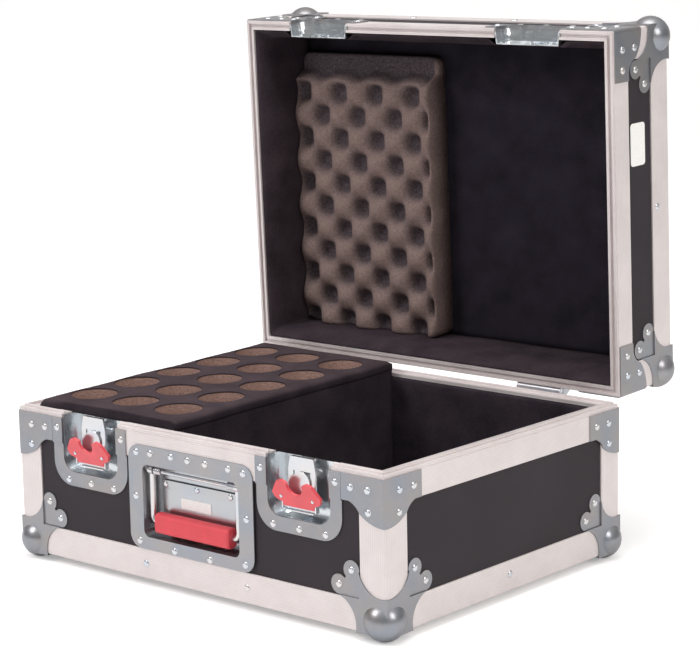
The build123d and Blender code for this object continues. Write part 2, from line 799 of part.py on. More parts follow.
def keeper(x):
    """The lid's dish and, inside it, the plate whose forward lip the drawbar pulls on."""
    with BuildPart() as piece:
        add(latch_dish(x, keeper_mouth, latch_plate(lid_brace_line, keeper_plate_high, 1),
                       lid_rim_top, -1, lid_plane + dish_top_gap).part)
        half = keeper_width / 2
        lip_low = lip_top - keeper_lip_thickness
        plate_back = keeper_plate_inset + keeper_plate_thickness
        block(x, half, lid_plane + dish_top_gap, keeper_hook_top, keeper_plate_inset, dish_depth)
        block(x, half, lip_low, keeper_hook_top, keeper_plate_inset, plate_back)
        block(x, half, lip_low, lip_top, keeper_lip_front, plate_back)
    return piece


for name, latch_side in (("left", -1), ("right", 1)):
    latch_x = latch_side * latch_offset
    dish = latch_dish(latch_x, latch_mouth, latch_plate(latch_plate_low, brace_line, -1),
                      rim_low, 1, parting - dish_top_gap)
    with BuildPart() as bored_dish:
        add(dish.part)
        disc(latch_x, rotor_height, rotor_shaft_radius + running_gap, cam_end, dish_back + 1,
             mode=Mode.SUBTRACT)
    save(bored_dish, f"latch_{name}_dish")
    save(rotor(latch_x), f"latch_{name}_rotor")
    save(wing(latch_x), f"latch_{name}_wing")
    save(drawbar(latch_x), f"latch_{name}_drawbar")
    save(keeper(latch_x), f"latch_keeper_{name}", on_lid=True)

# ---- The recessed spring handle -----------------------------------------------------------
with BuildSketch(mode=Mode.PRIVATE) as handle_plate:
    with Locations((0, handle_middle)):
        RectangleRounded(handle_plate_width, handle_plate_height, handle_plate_round)

rod_height = handle_mouth_high - steel - dish_shrink - eye_gap - eye_radius
arm_x = handle_dish_width / 2 - steel - dish_shrink - bail_side_gap - bail_radius
rod_length = handle_dish_width + 2 * handle_rod_end
grip_low = handle_mouth_low + steel + dish_shrink + grip_floor_gap
grip_middle = grip_low + grip_height / 2
spring_x = arm_x - eye_width / 2 - eye_gap - spring_length / 2

with BuildPart() as handle_dish:
    pressed_dish(0, handle_mouth, handle_plate.sketch, 0)
    cross_pin(0, rod_height, handle_rod_inset, handle_rod_radius + press_gap, rod_length,
              mode=Mode.SUBTRACT)
save(handle_dish, "handle_dish")

with BuildPart() as handle_stop_plate:
    with BuildSketch(Plane.YZ.offset(-stop_plate_width / 2)) as bent_plate:
        floor_y = dish_depth - half_depth
        low, bend, high = (handle_mouth_low + rise
                           for rise in (stop_plate_low, stop_plate_bend, stop_plate_high))
        Polygon((floor_y, low), (floor_y, bend), (floor_y - stop_plate_step, high),
                (floor_y - stop_plate_step - steel, high), (floor_y - steel, bend),
                (floor_y - steel, low), align=None)
    extrude(bent_plate.sketch, amount=stop_plate_width)
save(handle_stop_plate, "handle_stop_plate")

with BuildPart() as handle_rod:
    cross_pin(0, rod_height, handle_rod_inset, handle_rod_radius, rod_length)
save(handle_rod, "handle_rod")

with BuildPart() as handle_springs:
    for side in (-1, 1):
        cross_pin(side * spring_x, rod_height, handle_rod_inset, spring_radius, spring_length)
    cross_pin(0, rod_height, handle_rod_inset, handle_rod_radius + spring_gap, rod_length,
              mode=Mode.SUBTRACT)
save(handle_springs, "handle_springs")

with BuildPart() as handle_bail:
    with BuildLine(front_at(handle_rod_inset)) as wire:
        FilletPolyline((-arm_x, rod_height - handle_rod_radius), (-arm_x, grip_middle),
                       (arm_x, grip_middle), (arm_x, rod_height - handle_rod_radius),
                       radius=bail_bend)
    with BuildSketch(Plane(origin=wire.line @ 0, z_dir=wire.line % 0)) as bar_section:
        Circle(bail_radius)
    sweep(bar_section.sketch, path=wire.line)
    for side in (-1, 1):
        cross_pin(side * arm_x, rod_height, handle_rod_inset, eye_radius, eye_width)
    cross_pin(0, rod_height, handle_rod_inset, handle_rod_radius + running_gap, rod_length,
              mode=Mode.SUBTRACT)
save(handle_bail, "handle_bail")

with BuildPart() as handle_grip:
    with BuildSketch(Plane.YZ.offset(-grip_half_length)) as grip_section:
        with Locations((grip_depth / 2 - grip_proud - half_depth, grip_middle)):
            RectangleRounded(grip_depth, grip_height, grip_round)
    extrude(grip_section.sketch, amount=2 * grip_half_length)
    chamfer(handle_grip.faces().filter_by(Axis.X).edges(), grip_end_chamfer)
    cross_pin(0, grip_middle, handle_rod_inset, bail_radius + press_gap, rod_length,
              mode=Mode.SUBTRACT)
save(handle_grip, "handle_grip")

# ---- Hinges -------------------------------------------------------------------------------
axis_y = half_depth + hinge_back
axis_z = parting + hinge_rise
outer_share = knuckle_share * hinge_width
leaf_clear = knuckle_radius + leaf_gap


def slab_x(x_low, x_high, points):
    """Extrude an outline in the YZ plane, taken from the hinge axis, along X."""
    with BuildSketch(Plane.YZ.offset(x_low)) as outline:
        with Locations((axis_y, axis_z)):
            Polygon(*points, align=None)
    extrude(outline.sketch, amount=x_high - x_low)


def hinge_leaves(z_sign, knuckles, bore):
    """The two leaves of one half: z_sign -1 hangs on the base, 1 stands on the lid."""
    leaf_face = -hinge_back
    leaf_back = leaf_face + hinge_leaf_thickness
    angle = radians(lid_open_angle / 2 + stop_gap_angle)
    inner = (stop_ear_root * cos(angle), z_sign * stop_ear_root * sin(angle))
    outer = (stop_ear_reach * cos(angle), z_sign * stop_ear_reach * sin(angle))
    with BuildPart() as leaves:
        for hinge_side in (-1, 1):
            middle = hinge_side * hinge_offset
            left = middle - hinge_width / 2
            right = middle + hinge_width / 2
            slab_x(left, right, [(leaf_face, z_sign * leaf_clear), (leaf_back, z_sign * leaf_clear),
                                 (leaf_back, z_sign * hinge_leaf), (leaf_face, z_sign * hinge_leaf)])
            for start, end in knuckles:
                slab_x(left + start, left + end,
                       [(leaf_face, 0), (0, 0), (leaf_back, z_sign * (leaf_clear + 1)),
                        (leaf_face, z_sign * (leaf_clear + 1))])
                with BuildSketch(Plane.YZ.offset(left + start)) as barrel:
                    with Locations((axis_y, axis_z)):
                        Circle(knuckle_radius)
                extrude(barrel.sketch, amount=end - start)
            for ear in (left, right - stop_ear_thickness):
                slab_x(ear, ear + stop_ear_thickness,
                       [(leaf_face, z_sign * stop_ear_root), inner, outer,
                        (leaf_face, z_sign * (stop_ear_root + stop_ear_height))])
            with Locations((middle, axis_y, axis_z)):
                Cylinder(bore, hinge_width + 1, rotation=(0, 90, 0), mode=Mode.SUBTRACT)
    return leaves


base_knuckles = ((0, outer_share), (hinge_width - outer_share, hinge_width))
lid_knuckles = ((outer_share + knuckle_gap, hinge_width - outer_share - knuckle_gap),)
save(hinge_leaves(-1, base_knuckles, hinge_pin_radius + press_gap), "hinge_base_leaves")
save(hinge_leaves(1, lid_knuckles, hinge_pin_radius + running_gap), "hinge_lid_leaves",
     on_lid=True)

with BuildPart() as hinge_pins:
    for hinge_side in (-1, 1):
        with Locations((hinge_side * hinge_offset, axis_y, axis_z)):
            Cylinder(hinge_pin_radius, hinge_width, rotation=(0, 90, 0))
save(hinge_pins, "hinge_pins")

# ---- Soft linings, microphone tray and lid pad --------------------------------------------
wall_x = half_width - panel_back
wall_y = half_depth - panel_back


def ring(outer_inset, inner_inset, z_low, z_high):
    """A rectangular ring between two insets from the case's faces."""
    with BuildSketch(Plane.XY.offset(z_low)) as outline:
        Rectangle(case_width - 2 * outer_inset, case_depth - 2 * outer_inset)
        Rectangle(case_width - 2 * inner_inset, case_depth - 2 * inner_inset, mode=Mode.SUBTRACT)
    extrude(outline.sketch, amount=z_high - z_low)


with BuildPart() as base_floor_lining:
    wall_box(lining_gap - wall_x, wall_x - lining_gap, lining_gap - wall_y, wall_y - lining_gap,
             underside + panel_back, floor_top - lining_gap)
save(base_floor_lining, "base_floor_lining")

inner_leg_low = base_wall_high - inner_leg_height
beside_leg = panel_back + inner_leg_thickness + lining_gap
leg_x = half_width - beside_leg
leg_y = half_depth - beside_leg
thin_above = inner_leg_low - lining_gap
lining_high = parting - rim_shoulder - lining_gap
pocket_inset = dish_back + pocket_skin_gap


def lining_piece(x_low, x_high, y_low, y_high, z_low=floor_top, z_high=lining_high):
    """One piece of wall lining, thinned above where it passes the rim's inner leg."""
    wall_box(x_low, x_high, y_low, y_high, z_low, min(z_high, thin_above))
    if z_high > thin_above:
        wall_box(max(x_low, -leg_x), min(x_high, leg_x), max(y_low, -leg_y), min(y_high, leg_y),
                 thin_above, z_high)


lining_x = wall_x - lining_gap
lining_y = wall_y - lining_gap
face_x = half_width - base_lining_face
face_y = half_depth - base_lining_face
felt_back = pocket_inset - half_depth           # the front wall's felt runs behind the dishes
latch_room = latch_dish_width / 2 + cutout_clearance
handle_room = handle_dish_width / 2 + cutout_clearance
beside_latch = (latch_offset - latch_room, latch_offset + latch_room)
sill = handle_mouth_low - cutout_clearance
above_sill = sill + lining_gap
with BuildPart() as base_wall_lining:
    lining_piece(-lining_x, lining_x, face_y, lining_y)
    for x_low in (-lining_x, face_x):
        lining_piece(x_low, x_low + lining_x - face_x, lining_gap - face_y, face_y - lining_gap)
    lining_piece(-lining_x, lining_x, felt_back, -face_y)
    # foam strips behind the felt leave room for the backs of the dishes
    strips = [(-lining_x, lining_x, floor_top, sill),
              (-handle_room, handle_room, handle_mouth_high + cutout_clearance, lining_high)]
    for low, high, top in ((handle_room + lining_gap, beside_latch[0] - lining_gap, lining_high),
                           (*beside_latch, latch_low - cutout_clearance),
                           (beside_latch[1] + lining_gap, lining_x, lining_high)):
        strips += [(low, high, above_sill, top), (-high, -low, above_sill, top)]
    for x_low, x_high, z_low, z_high in strips:
        lining_piece(x_low, x_high, -lining_y, felt_back - lining_gap, z_low, z_high)
save(base_wall_lining, "base_wall_lining")

tray_left = base_lining_face + lining_gap - half_width
tray_right = tray_left + tray_width
foam_right = tray_right - divider_thickness
tray_side = half_depth - base_lining_face - lining_gap
tray_top = parting + tray_top_rise
foam_top = tray_top - tray_cover_thickness
pocket_x = foam_right - pocket_side_margin - pocket_radius - pocket_pitch_x * (pocket_columns - 1) / 2


def pockets(z_low, depth):
    """Cut the microphone pockets out of the piece being built."""
    with Locations((pocket_x, 0, z_low + depth / 2)):
        with GridLocations(pocket_pitch_x, pocket_pitch_y, pocket_columns, pocket_rows):
            Cylinder(pocket_radius, depth, mode=Mode.SUBTRACT)


with BuildPart() as mic_tray_foam:
    wall_box(tray_left, foam_right, -tray_side, tray_side, floor_top, foam_top)
    pockets(foam_top - pocket_depth, pocket_depth)
save(mic_tray_foam, "mic_tray_foam")

with BuildPart() as mic_tray_divider:
    wall_box(foam_right, tray_right, -tray_side, tray_side, floor_top, foam_top)
save(mic_tray_divider, "mic_tray_divider")

with BuildPart() as mic_tray_cover:
    wall_box(tray_left, tray_right, -tray_side, tray_side, foam_top, tray_top)
    pockets(foam_top, tray_cover_thickness)
save(mic_tray_cover, "mic_tray_cover")

lid_lining_top = lid_wall_high - lid_top_lining
with BuildPart() as lid_wall_lining:
    ring(panel_back + lining_gap, lid_lining_face,
         lid_wall_low + inner_leg_height + lining_gap, lid_lining_top - lining_gap)
    for latch_side in (-1, 1):
        cut_front(keeper_mouth(cutout_clearance), latch_side * latch_offset, 0, pocket_inset)
save(lid_wall_lining, "lid_wall_lining", on_lid=True)

with BuildPart() as lid_top_lining_sheet:
    wall_box(lining_gap - wall_x, wall_x - lining_gap, lining_gap - wall_y, wall_y - lining_gap,
             lid_lining_top, lid_wall_high - lining_gap)
save(lid_top_lining_sheet, "lid_top_lining", on_lid=True)

pad_left = lid_lining_face + lining_gap - half_width
pad_back = half_depth - lid_lining_face - lining_gap
with BuildPart() as lid_foam_pad:
    wall_box(pad_left, pad_left + pad_width, pad_back - pad_length, pad_back,
             lid_lining_top - pad_thickness, lid_lining_top)
save(lid_foam_pad, "lid_foam_pad", on_lid=True)
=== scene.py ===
# %% [markdown]
# # Flight case for hand-held microphones
# A flight case is black laminated plywood, held at every edge by an aluminium extrusion and at
# every corner by a pressed steel ball. This one stands with its lid open on the hinge side.
#
# The construction model already has each panel, extrusion, latch and hinge in its place, so
# nothing rigid is modelled twice. This script gives those pieces their finishes and adds what
# a construction model leaves plain: rivets, springs, labels, felt, foam, cloth and a studio.

import json
import math

import bmesh
import bpy
from mathutils import Matrix, Vector, noise

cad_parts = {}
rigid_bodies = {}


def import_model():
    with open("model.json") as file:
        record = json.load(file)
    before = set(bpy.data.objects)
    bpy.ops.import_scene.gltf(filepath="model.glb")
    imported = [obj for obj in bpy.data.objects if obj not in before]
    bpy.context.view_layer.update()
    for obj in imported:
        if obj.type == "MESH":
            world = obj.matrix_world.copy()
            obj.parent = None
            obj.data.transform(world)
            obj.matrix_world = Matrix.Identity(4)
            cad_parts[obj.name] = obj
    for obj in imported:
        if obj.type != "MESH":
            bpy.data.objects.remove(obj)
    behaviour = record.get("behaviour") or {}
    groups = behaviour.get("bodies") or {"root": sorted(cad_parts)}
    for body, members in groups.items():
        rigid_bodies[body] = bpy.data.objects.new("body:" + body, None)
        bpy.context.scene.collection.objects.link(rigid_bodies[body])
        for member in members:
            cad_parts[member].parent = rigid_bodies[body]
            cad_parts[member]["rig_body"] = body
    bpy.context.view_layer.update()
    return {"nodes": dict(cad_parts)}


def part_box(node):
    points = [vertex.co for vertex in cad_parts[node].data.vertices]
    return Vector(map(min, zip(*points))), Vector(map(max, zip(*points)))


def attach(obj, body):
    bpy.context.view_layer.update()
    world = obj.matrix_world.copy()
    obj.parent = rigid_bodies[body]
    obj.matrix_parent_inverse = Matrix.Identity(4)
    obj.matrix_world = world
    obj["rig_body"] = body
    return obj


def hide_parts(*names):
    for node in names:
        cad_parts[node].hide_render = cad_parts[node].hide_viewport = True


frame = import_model()

# %% [markdown]
# ## Shared sizes
# Everything is in metres, in the construction model's own frame. The open lid makes its points
# awkward to work out, so each lid piece is made where it would be on the closed case, and one
# matrix then swings it open about the hinge pins.

# %% Sizes of the case
MM = 0.001
HALF_W, HALF_D = 0.240, 0.180             # outer faces of the panels, from the middle
STEEL = 0.0012                            # thickness of the pressed fittings
UNDERSIDE, LID_TOP = 0.0077, 0.2503       # outer faces of the bottom and of the closed lid
LATCH_X = 0.1375                          # middle of each latch
HINGE = Vector((0.0, 0.1832, 0.1592))
OPEN_ANGLE = math.radians(88)
SWING = (Matrix.Translation(HINGE) @ Matrix.Rotation(-OPEN_ANGLE, 4, "X")
         @ Matrix.Translation(-HINGE))
print("lid swing:", round(math.degrees(OPEN_ANGLE), 1), "degrees")

# %% [markdown]
# ## Shader helpers
# A material is a network of nodes. With Blender's own calls each node takes four or five
# lines, and the idea behind the network gets lost. These wrappers make one line of each node,
# so that every finish further down reads as a recipe.

# %% Nodes and links
def link(tree, source, target):
    """Connect two sockets."""
    tree.links.new(source, target)


def add_node(tree, kind, values=None, **settings):
    """A node with its settings and its input constants."""
    node = tree.nodes.new(kind)
    for name, value in settings.items():
        setattr(node, name, value)
    for name, value in (values or {}).items():
        node.inputs[name].default_value = value
    return node


def math_node(tree, operation, first, second=None, clamp=False):
    """A Math node; each operand is a socket or a number."""
    node = add_node(tree, "ShaderNodeMath", operation=operation, use_clamp=clamp)
    for slot, operand in enumerate((first, second)):
        if isinstance(operand, (int, float)):
            node.inputs[slot].default_value = operand
        elif operand is not None:
            link(tree, operand, node.inputs[slot])
    return node.outputs[0]


def separate(tree, vector):
    """The X, Y and Z sockets of a vector."""
    node = add_node(tree, "ShaderNodeSeparateXYZ")
    link(tree, vector, node.inputs["Vector"])
    return node.outputs


def between(tree, value, start, end):
    """0 at start, 1 at end, and held beyond both."""
    node = add_node(tree, "ShaderNodeMapRange", {"From Min": start, "From Max": end})
    link(tree, value, node.inputs["Value"])
    return node.outputs["Result"]


print("node helpers ready")

# %% [markdown]
# ## Colour and texture helpers
# Most finishes are one noise pattern read through a colour ramp, mixed with a second one, and
# read again as a bump. A Mix node keeps sockets for every kind of value, so its colour
# sockets are found by number.

# %% Ramps, mixes, noise and bumps
COLOUR_FACTOR, COLOUR_A, COLOUR_B, COLOUR_RESULT = 0, 6, 7, 2
NUMBER_FACTOR, NUMBER_A, NUMBER_B, NUMBER_RESULT = 0, 2, 3, 0


def ramp(tree, factor, stops):
    """A colour ramp from (position, colour) pairs."""
    node = add_node(tree, "ShaderNodeValToRGB")
    while len(node.color_ramp.elements) < len(stops):
        node.color_ramp.elements.new(0.5)
    for element, (position, colour) in zip(node.color_ramp.elements, stops):
        element.position = position
        element.color = (*colour, 1.0)
    link(tree, factor, node.inputs["Fac"])
    return node.outputs["Color"]


def mix_colour(tree, factor, first, second, blend="MIX"):
    """Mix two colours; each is a socket or a triple."""
    node = add_node(tree, "ShaderNodeMix", data_type="RGBA", blend_type=blend)
    for index, operand in ((COLOUR_FACTOR, factor), (COLOUR_A, first), (COLOUR_B, second)):
        if isinstance(operand, (int, float)):
            node.inputs[index].default_value = operand
        elif isinstance(operand, tuple):
            node.inputs[index].default_value = (*operand, 1.0)
        else:
            link(tree, operand, node.inputs[index])
    return node.outputs[COLOUR_RESULT]


def noise_texture(tree, vector, scale, detail=4.0, roughness=0.5):
    """Noise at a scale given in features per metre."""
    node = add_node(tree, "ShaderNodeTexNoise",
                    {"Scale": scale, "Detail": detail, "Roughness": roughness})
    link(tree, vector, node.inputs["Vector"])
    return node.outputs["Fac"]


def bump(tree, height, distance, strength):
    """A bump node; distance is in metres."""
    node = add_node(tree, "ShaderNodeBump", {"Strength": strength, "Distance": distance})
    link(tree, height, node.inputs["Height"])
    return node.outputs["Normal"]


print("colour helpers ready")

# %% [markdown]
# ## Shader groups
# An effect that several finishes share is built once as a node group and placed in each
# material with its own values. That keeps the finishes alike and the materials short. A group
# here puts out only numbers, masks and vectors; the shader itself stays in the material.

# %% Making and placing groups
VECTOR, FLOAT = "NodeSocketVector", "NodeSocketFloat"


def new_group(name, inputs, outputs):
    """An empty node group with its interface sockets."""
    group = bpy.data.node_groups.new(name, "ShaderNodeTree")
    for socket, kind, default in inputs:
        made = group.interface.new_socket(socket, in_out="INPUT", socket_type=kind)
        if default is not None:
            made.default_value = default
    for socket, kind in outputs:
        group.interface.new_socket(socket, in_out="OUTPUT", socket_type=kind)
    return group, group.nodes.new("NodeGroupInput"), group.nodes.new("NodeGroupOutput")


def use_group(tree, group, values, vector=None):
    """Place a group in a material; values are constants for its inputs."""
    node = add_node(tree, "ShaderNodeGroup")
    node.node_tree = group
    for name, value in values.items():
        node.inputs[name].default_value = value
    if vector is not None:
        link(tree, vector, node.inputs["Vector"])
    return node


print("group helpers ready")

# %% [markdown]
# ## Closed-case coordinates
# The extrusions of the lid and of the base meet when the case is shut, and their patterns then
# run on from one to the other. Object coordinates alone would turn with the open lid. So this
# group turns the lid's coordinates back to where they are on the closed case. Angle 0 leaves
# the base's as they are.

# %% Group: closed-case position
closed, g_in, g_out = new_group("closed_case_position", [("Angle", FLOAT, 0.0)],
                                [("Position", VECTOR), ("Facing", VECTOR)])
coords = add_node(closed, "ShaderNodeTexCoord")
for source, target, centre in (("Object", "Position", HINGE), ("Normal", "Facing", Vector())):
    turn = add_node(closed, "ShaderNodeVectorRotate", {"Center": centre},
                    rotation_type="X_AXIS")
    link(closed, coords.outputs[source], turn.inputs["Vector"])
    link(closed, g_in.outputs["Angle"], turn.inputs["Angle"])
    link(closed, turn.outputs["Vector"], g_out.inputs[target])
print("group:", closed.name)

# %% [markdown]
# ## Ridges of the extrusions
# A die leaves fine ridges along the whole length of an extrusion. They run round the case on
# the rims and edge angles, and up and down on the posts. Modelled, they would be thousands of
# faces 2 mm wide, so they are a sine wave across the length, used for the bump and for the
# painted shade in the grooves. Adding the distance in from the side makes the wave turn the
# mitred corners.

# %% Group: extrusion ridges
ridges, g_in, g_out = new_group(
    "extrusion_ridges",
    [("Vector", VECTOR, None), ("Upright", FLOAT, 0.0), ("Pitch", FLOAT, 0.0022)],
    [("Height", FLOAT), ("Across", FLOAT)])
parts = separate(ridges, g_in.outputs["Vector"])
from_x = math_node(ridges, "SUBTRACT", HALF_W, math_node(ridges, "ABSOLUTE", parts["X"]))
from_y = math_node(ridges, "SUBTRACT", HALF_D, math_node(ridges, "ABSOLUTE", parts["Y"]))
level = math_node(ridges, "ADD", parts["Z"], math_node(ridges, "MINIMUM", from_x, from_y))
upright = math_node(ridges, "ADD", from_x, from_y)
choose = add_node(ridges, "ShaderNodeMix", data_type="FLOAT")
link(ridges, g_in.outputs["Upright"], choose.inputs[NUMBER_FACTOR])
link(ridges, level, choose.inputs[NUMBER_A])
link(ridges, upright, choose.inputs[NUMBER_B])
across = choose.outputs[NUMBER_RESULT]
turns = math_node(ridges, "DIVIDE", across, g_in.outputs["Pitch"])
phase = math_node(ridges, "MULTIPLY", turns, math.tau)
wave = math_node(ridges, "MULTIPLY_ADD", math_node(ridges, "SINE", phase), 0.5)
wave.node.inputs[2].default_value = 0.5
link(ridges, wave, g_out.inputs["Height"])
link(ridges, across, g_out.inputs["Across"])
print("group:", ridges.name)

# %% [markdown]
# ## Handling marks
# Metal that has been handled is never one even tone. Soft blotches change its colour and gloss
# a little, and short scratches cross them. Both come from noise; the scratches' noise is
# stretched nine times along one slanted direction and cut off low, so that few are left.

# %% Group: handling marks
BLOTCH_SCALE, SCRATCH_SCALE, SCRATCH_CUT, SCRATCH_GAIN = 28.0, 160.0, 0.62, 5.0

marks, g_in, g_out = new_group(
    "handling_marks", [("Vector", VECTOR, None), ("Amount", FLOAT, 0.5)],
    [("Blotch", FLOAT), ("Scratch", FLOAT), ("Roughness", FLOAT)])
blotch = noise_texture(marks, g_in.outputs["Vector"], BLOTCH_SCALE, 5.0, 0.6)
stretch = add_node(marks, "ShaderNodeMapping",
                   {"Rotation": (0.4, 0.3, 0.7), "Scale": (1, 9, 1)})
link(marks, g_in.outputs["Vector"], stretch.inputs["Vector"])
streak = noise_texture(marks, stretch.outputs["Vector"], SCRATCH_SCALE, 3.0, 0.7)
scratch = math_node(marks, "SUBTRACT", streak, SCRATCH_CUT, clamp=True)
scratch = math_node(marks, "MULTIPLY", scratch, SCRATCH_GAIN, clamp=True)
scratch = math_node(marks, "MULTIPLY", scratch, g_in.outputs["Amount"])
rough = math_node(marks, "MULTIPLY", math_node(marks, "SUBTRACT", blotch, 0.5),
                  g_in.outputs["Amount"])
link(marks, blotch, g_out.inputs["Blotch"])
link(marks, scratch, g_out.inputs["Scratch"])
link(marks, rough, g_out.inputs["Roughness"])
print("group:", marks.name)

# %% [markdown]
# ## Woven and felted cloth
# The lining is a napped cloth: threads about a millimetre apart, nearly hidden by fluff. A
# sine along each axis gives the threads without any unwrapping, whichever way a face looks,
# and fine noise lies over them as the fluff.

# %% Group: cloth surface
FLUFF_SCALE, PATCH_SCALE, THREAD_SHARE = 520.0, 30.0, 0.16

cloth, g_in, g_out = new_group(
    "cloth_surface",
    [("Vector", VECTOR, None), ("Thread", FLOAT, 0.0011), ("Fluff", FLOAT, 0.5)],
    [("Height", FLOAT), ("Shade", FLOAT)])
fluff = noise_texture(cloth, g_in.outputs["Vector"], FLUFF_SCALE, 6.0, 0.8)
patch = noise_texture(cloth, g_in.outputs["Vector"], PATCH_SCALE, 3.0, 0.5)
parts = separate(cloth, g_in.outputs["Vector"])
threads = None
for axis in "XYZ":
    turns = math_node(cloth, "DIVIDE", parts[axis], g_in.outputs["Thread"])
    line = math_node(cloth, "SINE", math_node(cloth, "MULTIPLY", turns, math.tau))
    threads = line if threads is None else math_node(cloth, "ADD", threads, line)
weave = math_node(cloth, "MULTIPLY", threads, THREAD_SHARE)
nap = math_node(cloth, "MULTIPLY", fluff, g_in.outputs["Fluff"])
link(cloth, math_node(cloth, "ADD", weave, nap), g_out.inputs["Height"])
shade = math_node(cloth, "ADD", math_node(cloth, "MULTIPLY", fluff, 0.55),
                  math_node(cloth, "MULTIPLY", patch, 0.45))
link(cloth, shade, g_out.inputs["Shade"])
print("group:", cloth.name)

# %% [markdown]
# ## Finishes
# Each kind of finish is one function, and each material is one call of it. The lid gets its
# own copy of a finish, because its coordinates are turned back to the closed case.

# %% Starting a finish
finishes = {}


def new_material(name):
    """An empty material, filed under its name, and its principled shader."""
    material = bpy.data.materials.new(name)
    material.use_nodes = True
    finishes[name] = material
    tree = material.node_tree
    return tree, tree.nodes["Principled BSDF"]


def place(tree, half):
    """Closed-case position and facing sockets."""
    node = use_group(tree, closed, {"Angle": OPEN_ANGLE if half == "lid" else 0.0})
    return node.outputs["Position"], node.outputs["Facing"]


print("finishes so far:", len(finishes))

# %% [markdown]
# ### Aluminium extrusions
# Anodised aluminium is pale and satin rather than mirror-like. A fully metallic shader would
# go dark wherever it reflects the room, so the metal share is low here and the pale tone
# comes from the base colour, with painted shade darkening it a little in the grooves between
# the ridges.

# %% Aluminium
ANODISED = ((0.71, 0.65, 0.645), (0.80, 0.745, 0.74))
ANODISED_SCRATCH = (0.62, 0.60, 0.60)


def aluminium(name, half, upright):
    """Anodised extrusion: pale, satin, ridged along its length."""
    tree, shader = new_material(name)
    position, _ = place(tree, half)
    ridge = use_group(tree, ridges, {"Upright": upright}, position)
    mark = use_group(tree, marks, {"Amount": 0.35}, position)
    tone = ramp(tree, mark.outputs["Blotch"], [(0.3, ANODISED[0]), (0.7, ANODISED[1])])
    # Painted shade: the base colour is darkened a little in the grooves between the ridges.
    groove_shade = ramp(tree, ridge.outputs["Height"],
                  [(0.0, (0.91, 0.895, 0.89)), (0.35, (1, 1, 1))])
    colour = mix_colour(tree, 1.0, tone, groove_shade, "MULTIPLY")
    colour = mix_colour(tree, mark.outputs["Scratch"], colour, ANODISED_SCRATCH)
    link(tree, colour, shader.inputs["Base Color"])
    shader.inputs["Metallic"].default_value = 0.35
    rough = math_node(tree, "ADD", mark.outputs["Roughness"], 0.42)
    link(tree, rough, shader.inputs["Roughness"])
    link(tree, bump(tree, ridge.outputs["Height"], 0.00012, 0.5), shader.inputs["Normal"])


for half in ("base", "lid"):
    aluminium(f"aluminium_{half}", half, 0.0)
    aluminium(f"aluminium_posts_{half}", half, 1.0)
print("finishes so far:", len(finishes))

# %% [markdown]
# ### Zinc-plated steel
# The pressed fittings are zinc-plated: cooler and darker than the aluminium, with a bluish and
# a warm cast side by side. Their faces are never quite flat, and a coarse shallow bump gives
# the uneven reflections of pressed sheet without any extra faces. Inside the latch and handle
# dishes the colour is brightened with depth as a painted reflection, and the roughness drops.

# %% Zinc and bright steel
COOL_CAST, WARM_CAST = (0.90, 0.96, 1.03), (1.08, 1.02, 0.97)
# The third colour here is a painted reflection: brighter steel for the insides of the dishes.
ZINC, ZINC_SCRATCH, DISH_PAINTED_SHINE = (0.33, 0.33, 0.345), (0.66, 0.66, 0.68), (0.66, 0.70, 0.73)
DISH_EDGE, DISH_POLISH = 0.0008, 0.16


def tinted(colour, cast):
    """A colour multiplied by a cast."""
    return tuple(c * f for c, f in zip(colour, cast))


def zinc(name, half, colour=ZINC, gloss=0.34, depth=0.0, wobble=(90.0, 0.0004, 0.35)):
    """Plated steel; depth is how far in a dish the painted reflection and lower roughness are
    full, wobble its uneven face.
    """
    tree, shader = new_material(name)
    position, _ = place(tree, half)
    mark = use_group(tree, marks, {"Amount": 0.3}, position)
    tone = ramp(tree, mark.outputs["Blotch"],
                [(0.35, tinted(colour, COOL_CAST)), (0.65, tinted(colour, WARM_CAST))])
    tone = mix_colour(tree, mark.outputs["Scratch"], tone, ZINC_SCRATCH)
    rough = math_node(tree, "MULTIPLY", mark.outputs["Roughness"], 0.5)
    rough = math_node(tree, "ADD", rough, gloss)
    # Painted reflection: deeper in a dish the colour brightens towards a pale steel; the
    # roughness drops too.
    if depth:
        inset = math_node(tree, "ADD", separate(tree, position)["Y"], HALF_D)
        past_edge = math_node(tree, "SUBTRACT", inset, DISH_EDGE)
        inside = math_node(tree, "DIVIDE", past_edge, depth, clamp=True)
        tone = mix_colour(tree, inside, tone, DISH_PAINTED_SHINE)
        rough = math_node(tree, "SUBTRACT", rough,
                          math_node(tree, "MULTIPLY", inside, DISH_POLISH))
    link(tree, tone, shader.inputs["Base Color"])
    link(tree, rough, shader.inputs["Roughness"])
    shader.inputs["Metallic"].default_value = 0.92
    scale, height, strength = wobble
    link(tree, bump(tree, noise_texture(tree, position, scale, 2.0), height, strength),
         shader.inputs["Normal"])


zinc("zinc_base", "base")
zinc("zinc_lid", "lid")
zinc("dish_base", "base", depth=0.004, wobble=(48.0, 0.0020, 0.7))
zinc("dish_lid", "lid", depth=0.004, wobble=(48.0, 0.0024, 0.8))
zinc("bright", "base", (0.68, 0.69, 0.71), 0.22)
zinc("handle_steel", "base", (0.36, 0.365, 0.385), 0.30, 0.03, (30.0, 0.0012, 0.5))
zinc("hinge_steel", "base", (0.62, 0.62, 0.64), 0.42)
print("finishes so far:", len(finishes))

# %% [markdown]
# ### Black laminate
# The panels are plywood faced with a black phenolic laminate. Its fine stipple scatters light,
# which lifts the black a little. Stipple this fine is only worth a bump, and a broad faint
# haze keeps the large panels from looking like one flat colour.

